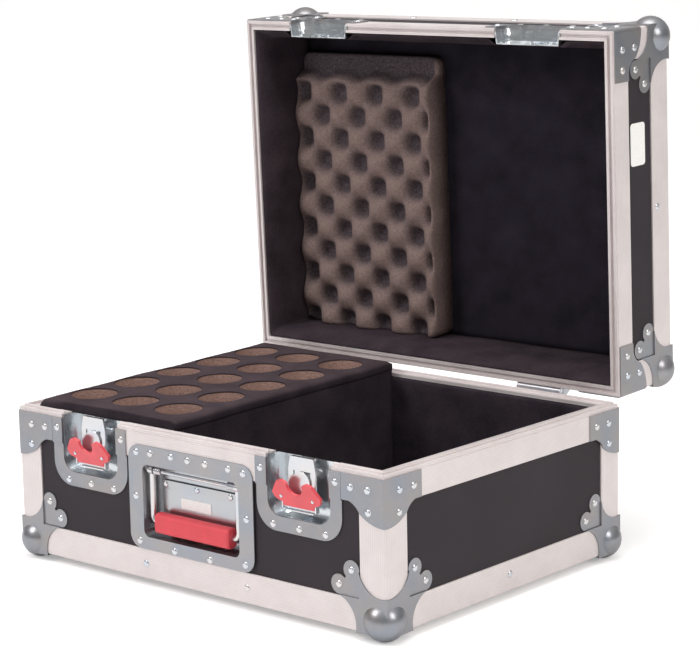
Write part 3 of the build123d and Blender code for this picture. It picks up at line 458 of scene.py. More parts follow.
# %% Laminate
def laminate(name, half):
    """Black laminate with a fine stipple."""
    tree, shader = new_material(name)
    position, _ = place(tree, half)
    stipple = noise_texture(tree, position, 1500.0, 2.0)
    haze = noise_texture(tree, position, 9.0, 4.0, 0.6)
    tone = ramp(tree, haze, [(0.3, (0.024, 0.019, 0.023)), (0.7, (0.033, 0.026, 0.031))])
    tone = mix_colour(tree, math_node(tree, "MULTIPLY", stipple, 0.30), tone,
                      (0.060, 0.052, 0.058))
    link(tree, tone, shader.inputs["Base Color"])
    shader.inputs["Roughness"].default_value = 0.62
    shader.inputs["Specular IOR Level"].default_value = 0.22
    link(tree, bump(tree, stipple, 0.00015, 0.5), shader.inputs["Normal"])


for half in ("base", "lid"):
    laminate(f"laminate_{half}", half)
print("finishes so far:", len(finishes))

# %% [markdown]
# ### Felt and cloth
# Napped cloth shows no highlight and glows faintly at grazing angles, which is what the sheen
# of the shader is for. The tray's cloth is painted greyer on top than where it turns down, as
# painted light on top and painted shade on the turned-down sides. The mask for that is the
# direction the face looks in.

# %% Felt
# The lining's own dark tones, also used as painted shade on the turned-down sides of the
# tray's cover.
LINING_TONE_AND_SIDE_SHADE = ((0.018, 0.014, 0.018), (0.050, 0.039, 0.047))
TURNED_DOWN, FLAT_ON_TOP = 0.35, 0.9      # upward share of the normal


def felt(name, half, dark, light, sides=None):
    """Felted lining cloth; sides is the pair of darker tones painted as shade where it turns
    down.
    """
    tree, shader = new_material(name)
    position, facing = place(tree, half)
    surface = use_group(tree, cloth, {"Thread": 0.0011, "Fluff": 0.6}, position)
    tone = ramp(tree, surface.outputs["Shade"], [(0.35, dark), (0.65, light)])
    # Painted shade: faces that turn down take the darker pair of tones.
    if sides:
        level = between(tree, separate(tree, facing)["Z"], TURNED_DOWN, FLAT_ON_TOP)
        turned = ramp(tree, surface.outputs["Shade"], [(0.35, sides[0]), (0.65, sides[1])])
        tone = mix_colour(tree, level, turned, tone)
    link(tree, tone, shader.inputs["Base Color"])
    shader.inputs["Roughness"].default_value = 0.95
    shader.inputs["Specular IOR Level"].default_value = 0.1
    shader.inputs["Sheen Weight"].default_value = 0.2
    shader.inputs["Sheen Roughness"].default_value = 0.6
    shader.inputs["Sheen Tint"].default_value = (*light, 1.0)
    link(tree, bump(tree, surface.outputs["Height"], 0.0005, 0.7), shader.inputs["Normal"])


felt("felt_base", "base", (0.016, 0.012, 0.017), (0.046, 0.036, 0.045))
felt("felt_lid", "lid", (0.012, 0.010, 0.015), (0.030, 0.024, 0.035))
# The lid's walls take a lighter copy of the lid's felt: painted light on the same cloth.
felt("felt_lid_walls", "lid", (0.020, 0.015, 0.019), (0.062, 0.045, 0.054))
felt("divider_cloth", "base", *LINING_TONE_AND_SIDE_SHADE)
# The cover is painted greyer on top, and its turned-down sides are darker as painted shade.
felt("cover_cloth", "base", (0.038, 0.027, 0.032), (0.076, 0.055, 0.062), LINING_TONE_AND_SIDE_SHADE)
print("finishes so far:", len(finishes))

# %% [markdown]
# ### Foam
# Open-cell foam is brown-grey and speckled, because each cell is a small dark hole. A Voronoi
# pattern gives the cells in the bump, and two scales of noise the speckle. On the lid's pad
# the pits between the bumps are painted darker and greyer as shade, and its cut strip on the
# right is not.

# %% Foam
FOAM_SPECKLE = [(0.25, (0.130, 0.096, 0.086)), (0.55, (0.235, 0.180, 0.160)),
                (0.8, (0.34, 0.272, 0.245))]
# Painted shade in the pad's pits: a darker, greyer speckle that fades in towards the pad's
# back and is kept off the cut strip on the right.
PIT_SHADE_SPECKLE = [(0.3, (0.035, 0.028, 0.034)), (0.75, (0.16, 0.135, 0.14))]
PIT_SHADE_FADE = (0.2065, 0.2190)               # closed height where the grey starts and is full
PIT_SHADE_LIMIT_X, PIT_SHADE_LIMIT_BLUR = -0.0325, 0.003


def foam(name, half, gain, pits=False):
    """Open-cell foam: mottled and cellular; gain tunes its colour, pits paints shade into the
    hollows.
    """
    tree, shader = new_material(name)
    position, _ = place(tree, half)
    cells = add_node(tree, "ShaderNodeTexVoronoi", {"Scale": 700.0, "Randomness": 1.0})
    link(tree, position, cells.inputs["Vector"])
    fine = noise_texture(tree, position, 420.0, 6.0, 0.75)
    broad = noise_texture(tree, position, 24.0, 3.0)
    tone = mix_colour(tree, math_node(tree, "MULTIPLY", broad, 0.35),
                      ramp(tree, fine, FOAM_SPECKLE), (0.20, 0.155, 0.13))
    # Painted shade: the deep parts of the pad's hollows take the darker speckle.
    if pits:
        parts = separate(tree, position)
        pit_shade_depth = between(tree, parts["Z"], *PIT_SHADE_FADE)
        inside = between(tree, parts["X"], PIT_SHADE_LIMIT_X, PIT_SHADE_LIMIT_X - PIT_SHADE_LIMIT_BLUR)
        tone = mix_colour(tree, math_node(tree, "MULTIPLY", pit_shade_depth, inside), tone,
                          ramp(tree, fine, PIT_SHADE_SPECKLE))
    tone = mix_colour(tree, 1.0, tone, gain, "MULTIPLY")
    link(tree, tone, shader.inputs["Base Color"])
    shader.inputs["Roughness"].default_value = 0.97
    shader.inputs["Specular IOR Level"].default_value = 0.05
    height = math_node(tree, "ADD", cells.outputs["Distance"], fine)
    link(tree, bump(tree, height, 0.0008, 0.8), shader.inputs["Normal"])


foam("foam_base", "base", (1.75, 1.48, 1.42))
foam("foam_lid", "lid", (1.12, 1.06, 1.10), pits=True)
print("finishes so far:", len(finishes))

# %% [markdown]
# ### Red wings and red grip
# The latch wings are enamelled steel with a thin clear coat. The handle's grip is moulded
# rubber in nearly the same red: rougher, grainier and without a coat. One function does both.

# %% Red enamel and rubber
def enamel(name, colour, rough, grain, coat):
    """Red enamel or moulded rubber."""
    tree, shader = new_material(name)
    position, _ = place(tree, "base")
    haze = noise_texture(tree, position, 60.0, 4.0, 0.6)
    tone = ramp(tree, haze, [(0.3, tinted(colour, (0.86, 0.86, 0.86))), (0.7, colour)])
    link(tree, tone, shader.inputs["Base Color"])
    shader.inputs["Roughness"].default_value = rough
    shader.inputs["Coat Weight"].default_value = coat
    shader.inputs["Coat Roughness"].default_value = 0.15
    grit = noise_texture(tree, position, 1400.0, 2.0)
    link(tree, bump(tree, grit, grain, 0.5), shader.inputs["Normal"])


enamel("red_wing", (0.80, 0.075, 0.095), 0.35, 0.00005, 0.3)
enamel("red_grip", (0.74, 0.065, 0.085), 0.5, 0.00012, 0.0)
print("finishes so far:", len(finishes))

# %% [markdown]
# ## Finishes on the construction model
# The nodes are named for what they are, so the finish can be read from a name's ending. That
# is shorter than a list of fifty-nine pairs, and a new panel or rim gets its finish by itself.
# Soft nodes get one too, although every one of them is replaced further down.

# %% Give every node its finish
STEEL_FINISHES = {
    "handle_dish": "handle_steel", "handle_stop_plate": "handle_steel",
    "hinge_base_leaves": "hinge_steel", "hinge_lid_leaves": "hinge_steel",
    "handle_rod": "bright", "handle_springs": "bright", "handle_bail": "bright",
    "hinge_pins": "bright"}
SINGLE_FINISHES = {"handle_grip": "red_grip", "mic_tray_divider": "divider_cloth",
                   "mic_tray_cover": "cover_cloth"}
ENDINGS = (("_panel", "laminate_{half}"), ("corner_posts", "aluminium_posts_{half}"),
           ("_rim", "aluminium_{half}"), ("edging", "aluminium_{half}"),
           ("_dish", "dish_{half}"), ("_rotor", "bright"), ("_drawbar", "bright"),
           ("_wing", "red_wing"), ("_lining", "felt_{half}"))


def finish_of(node):
    """The finish for a node of the construction model."""
    half = "lid" if frame["nodes"][node]["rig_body"] == "lid" else "base"
    named = STEEL_FINISHES.get(node) or SINGLE_FINISHES.get(node)
    if named:
        return named
    for ending, finish in ENDINGS:
        if node.endswith(ending):
            return finish.format(half=half)
    if node.startswith("latch_keeper"):
        return f"dish_{half}"
    return f"foam_{half}" if "foam" in node else f"zinc_{half}"


for node, part in frame["nodes"].items():
    part.data.materials.clear()
    part.data.materials.append(finishes[finish_of(node)])
print("finished nodes:", len(frame["nodes"]))

# %% [markdown]
# ## Making a piece
# Every added piece starts as a bmesh built from rings or grids of points, because these shapes
# are all swept or spread out. Each piece rides on the body that carries it, so that it follows
# the joints. Pieces of the lid are swung open here, once, and nowhere else.

# %% From bmesh to a riding piece
def finish_mesh(name, build, finish, body, smooth=True):
    """Turn a bmesh into a piece that rides on a body."""
    mesh = bpy.data.meshes.new(name)
    bmesh.ops.recalc_face_normals(build, faces=build.faces)
    if body == "lid":
        build.transform(SWING)
    build.to_mesh(mesh)
    build.free()
    for polygon in mesh.polygons:
        polygon.use_smooth = smooth
    mesh.materials.append(finishes[finish])
    piece = bpy.data.objects.new(name, mesh)
    bpy.context.scene.collection.objects.link(piece)
    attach(piece, body)
    return piece


def bridge(build, rings):
    """Join each closed ring of vertices to the next one with quads."""
    for low, high in zip(rings, rings[1:]):
        for k in range(len(low)):
            after = (k + 1) % len(low)
            build.faces.new((low[k], low[after], high[after], high[k]))


def grid_patch(build, xs, ys, shape):
    """A quad patch over two coordinate lists."""
    verts = [[build.verts.new(shape(x, y)) for x in xs] for y in ys]
    for low, high in zip(verts, verts[1:]):
        for k in range(len(xs) - 1):
            build.faces.new((low[k], low[k + 1], high[k + 1], high[k]))


def spread(low, high, count):
    """Evenly spaced values, both ends included."""
    return [low + (high - low) * k / count for k in range(count + 1)]


def ease(share):
    """0 to 1 with a soft start and a soft end."""
    return share * share * (3 - 2 * share)


print("mesh helpers ready")

# %% [markdown]
# ## Rivets
# Pop rivets hold the fittings: low domes, almost flat on top. The dome is turned from a short
# profile and set on a face of the case. All rivets of one fitting are one mesh, which keeps
# the number of pieces small and still lets each group ride on its own body.

# %% A rivet and the faces it sits on
RIVET = ((3.7, 0.0), (3.65, 0.45), (3.2, 1.05), (2.4, 1.45), (1.5, 1.6), (0.9, 1.62))
RIVET_TIP = 1.5
RIVET_SUNK = 0.0002
FACES = {
    "front": (lambda u, v, lift: Vector((u, -HALF_D - lift, v)), Vector((0, -1, 0))),
    "back": (lambda u, v, lift: Vector((u, HALF_D + lift, v)), Vector((0, 1, 0))),
    "right": (lambda u, v, lift: Vector((HALF_W + lift, u, v)), Vector((1, 0, 0))),
    "left": (lambda u, v, lift: Vector((-HALF_W - lift, u, v)), Vector((-1, 0, 0))),
    "bottom": (lambda u, v, lift: Vector((u, v, UNDERSIDE - lift)), Vector((0, 0, -1))),
    "top": (lambda u, v, lift: Vector((u, v, LID_TOP + lift)), Vector((0, 0, 1))),
}


def rivet_head(build, base, normal, segments=14, scale=1.0):
    """Add one dome standing on base along normal."""
    turn = normal.to_track_quat("Z", "Y").to_matrix()
    rings = []
    for radius, height in RIVET:
        rings.append([build.verts.new(base + turn @ Vector((
            radius * scale * MM * math.cos(math.tau * k / segments),
            radius * scale * MM * math.sin(math.tau * k / segments),
            height * scale * MM))) for k in range(segments)])
    bridge(build, rings)
    tip = build.verts.new(base + turn @ Vector((0, 0, RIVET_TIP * scale * MM)))
    for k in range(segments):
        build.faces.new((rings[-1][k], rings[-1][(k + 1) % segments], tip))


def rivets(name, places, body, scale=1.0):
    """One mesh of rivets; each place is (face, u, v, lift) in metres on the closed case."""
    build = bmesh.new()
    for face, u, v, lift in places:
        where, normal = FACES[face]
        rivet_head(build, where(u, v, lift - RIVET_SUNK), normal, scale=scale)
    piece = finish_mesh(name, build, "bright", body)


print("rivet faces:", len(FACES))

# %% [markdown]
# ## Rivets of the ball corners and braces
# Each leaf of a ball corner has two rivets, and each leg of a rim brace three. The case is
# symmetrical, so loops over the signs place them all from a few distances.

# %% Corner and brace rivets
LEAF_RIVETS = ((0.0405, 0.0557), (0.0557, 0.0405))     # distances from the case's vertex
LEAF_LIFT = -0.0003
BRACE_ALONG = (0.0390, 0.0192, 0.0185)                 # in from the upright edge
BRACE_HEIGHTS = {"base": (0.1400, 0.1400, 0.1197), "lid": (0.1708, 0.1708, 0.1911)}

for half, level, rise in (("base", UNDERSIDE, 1), ("lid", LID_TOP, -1)):
    places = []
    for sx in (-1, 1):
        for sy in (-1, 1):
            for near, far in LEAF_RIVETS:
                x, y, height = sx * (HALF_W - near), sy * (HALF_D - near), level + rise * far
                places += [
                    ("front" if sy < 0 else "back", x, height, LEAF_LIFT),
                    ("left" if sx < 0 else "right", y, height, LEAF_LIFT),
                    ("bottom" if rise > 0 else "top", x, sy * (HALF_D - far), LEAF_LIFT)]
    rivets(f"{half}_corner_rivets", places, half)

REACHES = (("front", HALF_W), ("back", HALF_W), ("left", HALF_D), ("right", HALF_D))
for half, heights in BRACE_HEIGHTS.items():
    rivets(f"{half}_brace_rivets", [
        (face, side * (reach - along), height, STEEL)
        for along, height in zip(BRACE_ALONG, heights)
        for side in (-1, 1) for face, reach in REACHES], half)
print("corner and brace rivets placed")

# %% [markdown]
# ## Rivets of the edges, the handle and the latches
# The edge angles have one or two rivets per side, a little out of step as on any hand-built
# case. The handle's plate has thirteen round its rim, its stop plate three small ones, and
# each latch or keeper plate three along its outer edge and one in each ear.

# %% Edge rivets
BASE_FRONT_Z, BASE_SIDE_Z, LID_FRONT_Z, LID_SIDE_Z = 0.0232, 0.0242, 0.2317, 0.2288

rivets("base_edge_rivets", [
    ("front", -0.063, BASE_FRONT_Z, 0), ("front", 0.071, BASE_FRONT_Z, 0),
    ("back", -0.067, BASE_FRONT_Z, 0), ("back", 0.067, BASE_FRONT_Z, 0),
    ("left", 0.001, BASE_SIDE_Z, 0), ("right", 0.001, BASE_SIDE_Z, 0)], "base")
rivets("lid_edge_rivets", [
    ("front", -0.067, LID_FRONT_Z, 0), ("front", 0.067, LID_FRONT_Z, 0),
    ("back", -0.067, LID_FRONT_Z, 0), ("back", 0.067, LID_FRONT_Z, 0),
    ("left", 0.0, LID_SIDE_Z, 0), ("right", 0.0, LID_SIDE_Z, 0)], "lid")
print("edge rivets placed")

# %% Handle and latch rivets
HANDLE_TOP_ROW = ((-71, 133.3), (-52, 134.0), (-24, 134.6), (-2, 134.3), (21, 134.2),
                  (51, 134.2), (70, 132.6))
HANDLE_SIDES = ((-73, 89.5), (73, 89.5))
HANDLE_LOW_ROW = ((-69.5, 45.5), (-22.5, 42.5), (24.5, 42.0), (70.5, 45.3))
STOP_PLATE_X, STOP_PLATE_Z, STOP_PLATE_INSET = (-46, -4, 40), 0.1026, 0.0127
PLATE_ROW, PLATE_EARS = (-0.032, 0.0, 0.032), (-0.0455, 0.0455)
LATCH_ROW_Z, LATCH_EAR_Z, KEEPER_ROW_Z, KEEPER_EAR_Z = 0.0907, 0.1420, 0.1903, 0.1705


def plate_rivets(row_z, ear_z):
    """The rivets of both plates of a kind, left and right."""
    places = []
    for centre in (-LATCH_X, LATCH_X):
        places += [("front", centre + offset, row_z, LEAF_LIFT) for offset in PLATE_ROW]
        places += [("front", centre + offset, ear_z, STEEL) for offset in PLATE_EARS]
    return places


rivets("handle_plate_rivets", [
    ("front", x * MM, z * MM, STEEL)
    for x, z in HANDLE_TOP_ROW + HANDLE_SIDES + HANDLE_LOW_ROW], "base")
rivets("stop_plate_rivets", [
    ("front", x * MM, STOP_PLATE_Z, -STOP_PLATE_INSET) for x in STOP_PLATE_X], "base",
    scale=0.85)
rivets("latch_plate_rivets", plate_rivets(LATCH_ROW_Z, LATCH_EAR_Z), "base")
rivets("keeper_plate_rivets", plate_rivets(KEEPER_ROW_Z, KEEPER_EAR_Z), "lid")
print("handle and latch rivets placed")

# %% [markdown]
# ## Rivet heads on the wings
# Each red wing has two small heads. At rest the wing leans out on its pin, so its heads are
# made upright and tilted with it about the same pin. They ride on the wing's own body.

# %% Wing heads
WING_PIN = Vector((0, -0.1778, 0.1115))
WING_TILT = math.radians(18)
HEAD_OFFSET, HEAD_Y, HEAD_Z, HEAD_SCALE = 0.0190, -0.17945, 0.1205, 0.5

for name, centre in (("left", -LATCH_X), ("right", LATCH_X)):
    build = bmesh.new()
    for offset in (-HEAD_OFFSET, HEAD_OFFSET):
        rivet_head(build, Vector((centre + offset, HEAD_Y, HEAD_Z)), Vector((0, -1, 0)), 12,
                   HEAD_SCALE)
    pin = WING_PIN + Vector((centre, 0, 0))
    build.transform(Matrix.Translation(pin) @ Matrix.Rotation(WING_TILT, 4, "X")
                    @ Matrix.Translation(-pin))
    heads = finish_mesh(f"latch_{name}_wing_heads", build, "bright", f"latch_{name}_wing_body")
print("wing heads placed")

# %% [markdown]
# ## Handle springs
# Two coil springs on the rod pull the handle flat. The construction model has plain tubes
# there, which is all that a simulation needs. A coil is a small circle carried along a helix.

# %% Coil springs
ROD = Vector((0, -0.1740, 0.11593))
SPRING_LENGTH, SPRING_END = 0.010, 0.0007
COIL_TURNS, COIL_STEPS, COIL_RADIUS = 6, 20, 0.0031
WIRE_RADIUS, WIRE_SEGMENTS = 0.0006, 8


def coil(build, x_low, x_high):
    """A helical spring along X round the rod."""
    steps = COIL_TURNS * COIL_STEPS
    rings = []
    for k in range(steps + 1):
        angle = math.tau * k / COIL_STEPS
        outward = Vector((0, math.cos(angle), math.sin(angle)))
        centre = Vector((x_low + (x_high - x_low) * k / steps,
                         ROD.y + COIL_RADIUS * math.cos(angle),
                         ROD.z + COIL_RADIUS * math.sin(angle)))
        ring = []
        for j in range(WIRE_SEGMENTS):
            turn = math.tau * j / WIRE_SEGMENTS
            ring.append(build.verts.new(centre + outward * (WIRE_RADIUS * math.cos(turn))
                                        + Vector((WIRE_RADIUS * math.sin(turn), 0, 0))))
        rings.append(ring)
    bridge(build, rings)


springs = bmesh.new()
spring_low, spring_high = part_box("handle_springs")
for x_low, x_high in ((spring_low.x, spring_low.x + SPRING_LENGTH),
                      (spring_high.x - SPRING_LENGTH, spring_high.x)):
    coil(springs, x_low + SPRING_END, x_high - SPRING_END)
spring_piece = finish_mesh("handle_coils", springs, "bright", "base")
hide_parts("handle_springs")
print("coil springs:", len(spring_piece.data.vertices), "vertices")

# %% [markdown]
# ## Blank labels
# A small label lies in the handle's recess and one on the side of the lid. They are left
# blank. Each is a thin slab with round corners rather than a patch of colour, so that its
# edge catches the light as paper does.

# %% Paper
def paper(name):
    """Off-white paper, faintly mottled."""
    tree, shader = new_material(name)
    position, _ = place(tree, "base")
    fibre = noise_texture(tree, position, 500.0, 4.0)
    tone = ramp(tree, fibre, [(0.3, (0.86, 0.85, 0.83)), (0.7, (0.93, 0.92, 0.90))])
    link(tree, tone, shader.inputs["Base Color"])
    shader.inputs["Roughness"].default_value = 0.6
    link(tree, bump(tree, fibre, 0.00005, 0.4), shader.inputs["Normal"])


paper("paper")
print("finishes:", len(finishes))

# %% Labels
LABEL_THICKNESS, CORNER_STEPS = 0.00025, 4


def label(name, face, u_span, v_span, corner, lift, body):
    """A thin rounded label lying on a face."""
    where, _ = FACES[face]
    build = bmesh.new()
    outline = []
    for cu, cv, start in ((u_span[1], v_span[1], 0), (u_span[0], v_span[1], 1),
                          (u_span[0], v_span[0], 2), (u_span[1], v_span[0], 3)):
        iu = cu + (corner if cu == u_span[0] else -corner)
        iv = cv + (corner if cv == v_span[0] else -corner)
        for k in range(CORNER_STEPS + 1):
            angle = math.pi / 2 * (start + k / CORNER_STEPS)
            outline.append((iu + corner * math.cos(angle), iv + corner * math.sin(angle)))
    low = [build.verts.new(where(u, v, lift)) for u, v in outline]
    high = [build.verts.new(where(u, v, lift + LABEL_THICKNESS)) for u, v in outline]
    build.faces.new(high)
    build.faces.new(low[::-1])
    bridge(build, [low, high])
    finish_mesh(name, build, "paper", body, smooth=False)


label("handle_label", "front", (-0.0262, 0.0136), (0.0812, 0.0912), 0.0012, -0.01365, "base")
label("lid_side_label", "right", (-0.0873, -0.0451), (0.1857, 0.2103), 0.0035, -0.00145, "lid")
print("labels placed")

# %% [markdown]
# ## Felt on the walls
# The walls are lined with felt over thin foam. It comes out from under the rim in a soft roll,
# has round inside corners and lies a little uneven. A cloth simulation would move it very
# little, since it is glued down, so it is a profile swept round the walls with faint noise,
# held off the backs of the latch dishes.

# %% Helpers for soft pieces
def dress_soft(piece, node, thickness=0.0):
    if thickness:
        thicken = piece.modifiers.new("thickness", "SOLIDIFY")
        thicken.thickness = thickness
        thicken.offset = -1
    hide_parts(node)


CORNER, ARC = 0.004, 4                    # radius of the inside corners, steps round one
LONG_RUN, SHORT_RUN = 56, 42              # steps along a front or back wall and a side wall


def ring_points(inset):
    """Points round the walls at an inset, always the same number, with round corners."""
    half_x, half_y = HALF_W - inset - CORNER, HALF_D - inset - CORNER
    middles = [Vector(p) for p in ((half_x, -half_y), (half_x, half_y), (-half_x, half_y),
                                   (-half_x, -half_y))]
    points = []
    for side, middle in enumerate(middles):
        for k in range(ARC):
            angle = math.pi / 2 * (side - 1 + k / ARC)
            points.append(middle + CORNER * Vector((math.cos(angle), math.sin(angle))))
        straight = math.pi / 2 * side
        out = CORNER * Vector((math.cos(straight), math.sin(straight)))
        count = LONG_RUN if side % 2 else SHORT_RUN
        after = middles[(side + 1) % 4]
        points += [middle.lerp(after, k / count) + out for k in range(count)]
    return points


print("points round the walls:", len(ring_points(0.0)))

# %% Wall felts
DISH_BACK, DISH_REACH = 0.0168, 0.046     # depth of a dish and half its width, with room
FELT = 0.0007
WALL_FELT_WAVE = 0.0006
BASE_PROFILE = [(0.0103, 0.1519), (0.0125, 0.1522), (0.0152, 0.1519), (0.0168, 0.1507),
                (0.0175, 0.1485)]
BASE_PROFILE += [(0.0175, z) for z in spread(0.1400, 0.0265, 14)]
LID_PROFILE = [(0.0104, 0.1590), (0.0110, 0.1588), (0.0126, 0.1604), (0.0150, 0.1650),
               (0.0172, 0.1710), (0.0183, 0.1750), (0.0185, 0.1790)]
LID_PROFILE += [(0.0185, z) for z in spread(0.1860, 0.2362, 6)]


def wall_felt(name, profile, node, finish, body):
    """A felt skin swept round the walls from (inset, height) pairs."""
    build = bmesh.new()
    rings = []
    for inset, height in profile:
        ring = []
        for x, y in ring_points(inset):
            lift = WALL_FELT_WAVE * noise.noise(Vector((x * 17, y * 17, height * 17 + 5.0)))
            x, y = x * (1 - lift / HALF_W), y * (1 - lift / HALF_D)
            if abs(abs(x) - LATCH_X) < DISH_REACH:
                y = max(y, DISH_BACK - HALF_D)
            ring.append(build.verts.new((x, y, height)))
        rings.append(ring)
    bridge(build, rings)
    dress_soft(finish_mesh(name, build, finish, body), node, FELT)


wall_felt("base_felt_walls", BASE_PROFILE, "base_wall_lining", "felt_base", "base")
wall_felt("lid_felt_walls", LID_PROFILE, "lid_wall_lining", "felt_lid_walls", "lid")
print("wall felts:", len(BASE_PROFILE), "and", len(LID_PROFILE), "rows")

# %% [markdown]
# ## Felt on the floor and in the lid
# Two plain sheets of felt-covered foam close the lining. A grid with faint noise, drawn up to
# a second layer, is enough: they lie flat and little of them shows.

# %% Flat felts
FELT_MARGIN, FLAT_FELT_WAVE = 0.0180, 0.0005


def flat_felt(name, level, rise, node, finish, body):
    """A sheet of felt lying flat, faintly uneven; rise is its thickness with its sign."""
    half_x, half_y = HALF_W - FELT_MARGIN, HALF_D - FELT_MARGIN

    def surface(x, y):
        return (x, y, level + FLAT_FELT_WAVE * noise.noise(Vector((x * 15, y * 15, rise))))

    build = bmesh.new()
    grid_patch(build, spread(-half_x, half_x, 60), spread(-half_y, half_y, 46), surface)
    drawn = bmesh.ops.extrude_face_region(build, geom=build.faces[:])["geom"]
    bmesh.ops.translate(build, vec=(0, 0, rise),
                        verts=[v for v in drawn if isinstance(v, bmesh.types.BMVert)])
    dress_soft(finish_mesh(name, build, finish, body), node)


flat_felt("base_felt_floor", 0.0259, -0.0090, "base_floor_lining", "felt_base", "base")
flat_felt("lid_felt_top", 0.2364, 0.0045, "lid_top_lining", "felt_lid", "lid")
print("flat felts placed")

# %% [markdown]
# ## Egg-crate pad in the lid
# Convoluted foam is cut so that two sheets come out of one, each with broad round bumps and
# narrow pits in a staggered pattern. The product of two cosines is staggered in just that way.
# A bias makes the bumps broader than the pits, and a power below one makes them steeper. The
# front end is pressed flat, and the right edge is left as a plain strip.

# %% Height of the pad
PAD_X, PAD_Y = (-0.2213, -0.0303), (-0.1397, 0.1613)
PAD_BACK, PAD_THICK, PAD_SKIN = 0.2363, 0.035, 0.0004
PITCH_X, PITCH_Y, FIRST_X, FIRST_Y = 0.0510, 0.0504, -0.1840, -0.0983
LOBE_BIAS, LOBE_POWER, LOBE_MIDDLE = 0.30, 0.60, 0.50
PIT_HEIGHT, LOBE_RISE = 0.0105, 0.0240
STRIP_WIDTH, STRIP_SHARE = 0.009, 0.85
PRESSED_HEIGHT, PRESSED_LENGTH, PRESSED_SLOPE = 0.012, 0.016, 0.014


def crate_height(x, y):
    """Height of the pad above its back, in metres."""
    wave = (math.cos(math.tau * (x - FIRST_X) / PITCH_X)
            * math.cos(math.tau * (y - FIRST_Y) / PITCH_Y))
    wave += LOBE_BIAS
    lobe = math.copysign(abs(wave / (1 + LOBE_BIAS)) ** LOBE_POWER, wave)
    bumps = LOBE_MIDDLE + lobe * (1 - LOBE_MIDDLE if lobe > 0 else LOBE_MIDDLE)
    strip = ease(min(1.0, (PAD_X[1] - x) / STRIP_WIDTH))
    free = ease(max(0.0, min(1.0, (y - PAD_Y[0] - PRESSED_LENGTH) / PRESSED_SLOPE)))
    height = PIT_HEIGHT + LOBE_RISE * (bumps * strip + STRIP_SHARE * (1 - strip))
    height = PRESSED_HEIGHT + (height - PRESSED_HEIGHT) * free
    wobble = noise.noise(Vector((x * 40, y * 40, 1.0))) * 0.0009
    return min(PAD_THICK - PAD_SKIN, height + wobble)


print("height over a bump:", round(crate_height(FIRST_X, FIRST_Y), 4), "m")

# %% [markdown]
# ### The pad as one closed mesh
# Its top is a fine grid at those heights. The grid's corners are drawn in along an arc, its
# border is a little lower, and walls and a back close it, since a foam pad is a solid thing.

# %% The pad
PAD_CORNER, BORDER_SHARE = 0.010, 0.90


def rounded(x, y):
    """A point of the pad's rectangle, drawn in where it is near a corner."""
    cx = min(max(x, PAD_X[0] + PAD_CORNER), PAD_X[1] - PAD_CORNER)
    cy = min(max(y, PAD_Y[0] + PAD_CORNER), PAD_Y[1] - PAD_CORNER)
    away = math.hypot(x - cx, y - cy)
    if abs(x - cx) > 0 and abs(y - cy) > 0:
        fit = max(abs(x - cx), abs(y - cy)) / away
        return cx + (x - cx) * fit, cy + (y - cy) * fit
    return x, y


def foam_pad(step):
    """The pad's top surface, its cut sides and its back."""
    columns = int((PAD_X[1] - PAD_X[0]) / step)
    rows = int((PAD_Y[1] - PAD_Y[0]) / step)
    build = bmesh.new()
    top, bottom = [], {}
    for j in range(rows + 1):
        line = []
        for i in range(columns + 1):
            x, y = rounded(PAD_X[0] + (PAD_X[1] - PAD_X[0]) * i / columns,
                           PAD_Y[0] + (PAD_Y[1] - PAD_Y[0]) * j / rows)
            on_border = min(i, columns - i, j, rows - j) == 0
            height = crate_height(x, y) * (BORDER_SHARE if on_border else 1.0)
            line.append(build.verts.new((x, y, PAD_BACK - height)))
            if on_border:
                bottom[j, i] = build.verts.new((x, y, PAD_BACK))
        top.append(line)
    for j in range(rows):
        for i in range(columns):
            build.faces.new((top[j][i], top[j][i + 1], top[j + 1][i + 1], top[j + 1][i]))
    border = ([(0, i) for i in range(columns)] + [(j, columns) for j in range(rows)]
              + [(rows, i) for i in range(columns, 0, -1)]
              + [(j, 0) for j in range(rows, 0, -1)])
    low = [bottom[spot] for spot in border]
    bridge(build, [[top[j][i] for j, i in border], low])
    build.faces.new(low)
    return build


QUICK_STEP, FULL_STEP = 0.004, 0.002
pad = finish_mesh("lid_egg_crate_pad", foam_pad(FULL_STEP),
                  "foam_lid", "lid")
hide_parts("lid_foam_pad")
print("pad:", len(pad.data.vertices), "vertices")

# %% [markdown]
# ## Tray: sizes and surface
# The left part of the base holds a foam block with fifteen round pockets, a cloth-covered
# board beside it, and one sheet of cloth stretched over the top. All three follow the same
# surface, which rises slightly to the back, so it is one function that they share.

# %% Tray sizes and the height of its top
TRAY_X, TRAY_Y, TRAY_TOP = (-0.2223, -0.0365), (-0.1623, 0.1623), 0.1680
TRAY_RISE = 0.0176                        # metres up for each metre back
TRAY_FLOOR, DIVIDER = 0.0262, 0.003
POCKET_RADIUS, POCKET_DEPTH, CELL = 0.0235, 0.118, 0.060
POCKET_X = (-0.1928, -0.1328, -0.0728)
POCKET_Y = (-0.120, -0.060, 0.0, 0.060, 0.120)
COVER_DROP, COVER_WAVE, CLOTH_AND_GAP = 0.0012, 0.0011, 0.0011
ROLL_WIDTH, ROLL_DROP = 0.006, 0.0030     # how the top falls near its outer edges


def cover_height(x, y):
    """Gentle waves, the rise to the back and a fall at the outer edges."""
    wave = noise.noise(Vector((x * 14, y * 14, 4.0))) * COVER_WAVE
    side = min(x - TRAY_X[0], TRAY_X[1] - x, TRAY_Y[1] - y)
    roll = max(0.0, 1 - side / ROLL_WIDTH)
    return TRAY_TOP - COVER_DROP + TRAY_RISE * y + wave - ROLL_DROP * roll * roll


def foam_height(x, y):
    """The foam's top, just under the cloth."""
    return cover_height(x, y) - CLOTH_AND_GAP


print("cloth at the middle pocket:", round(cover_height(POCKET_X[1], 0.0), 4), "m")

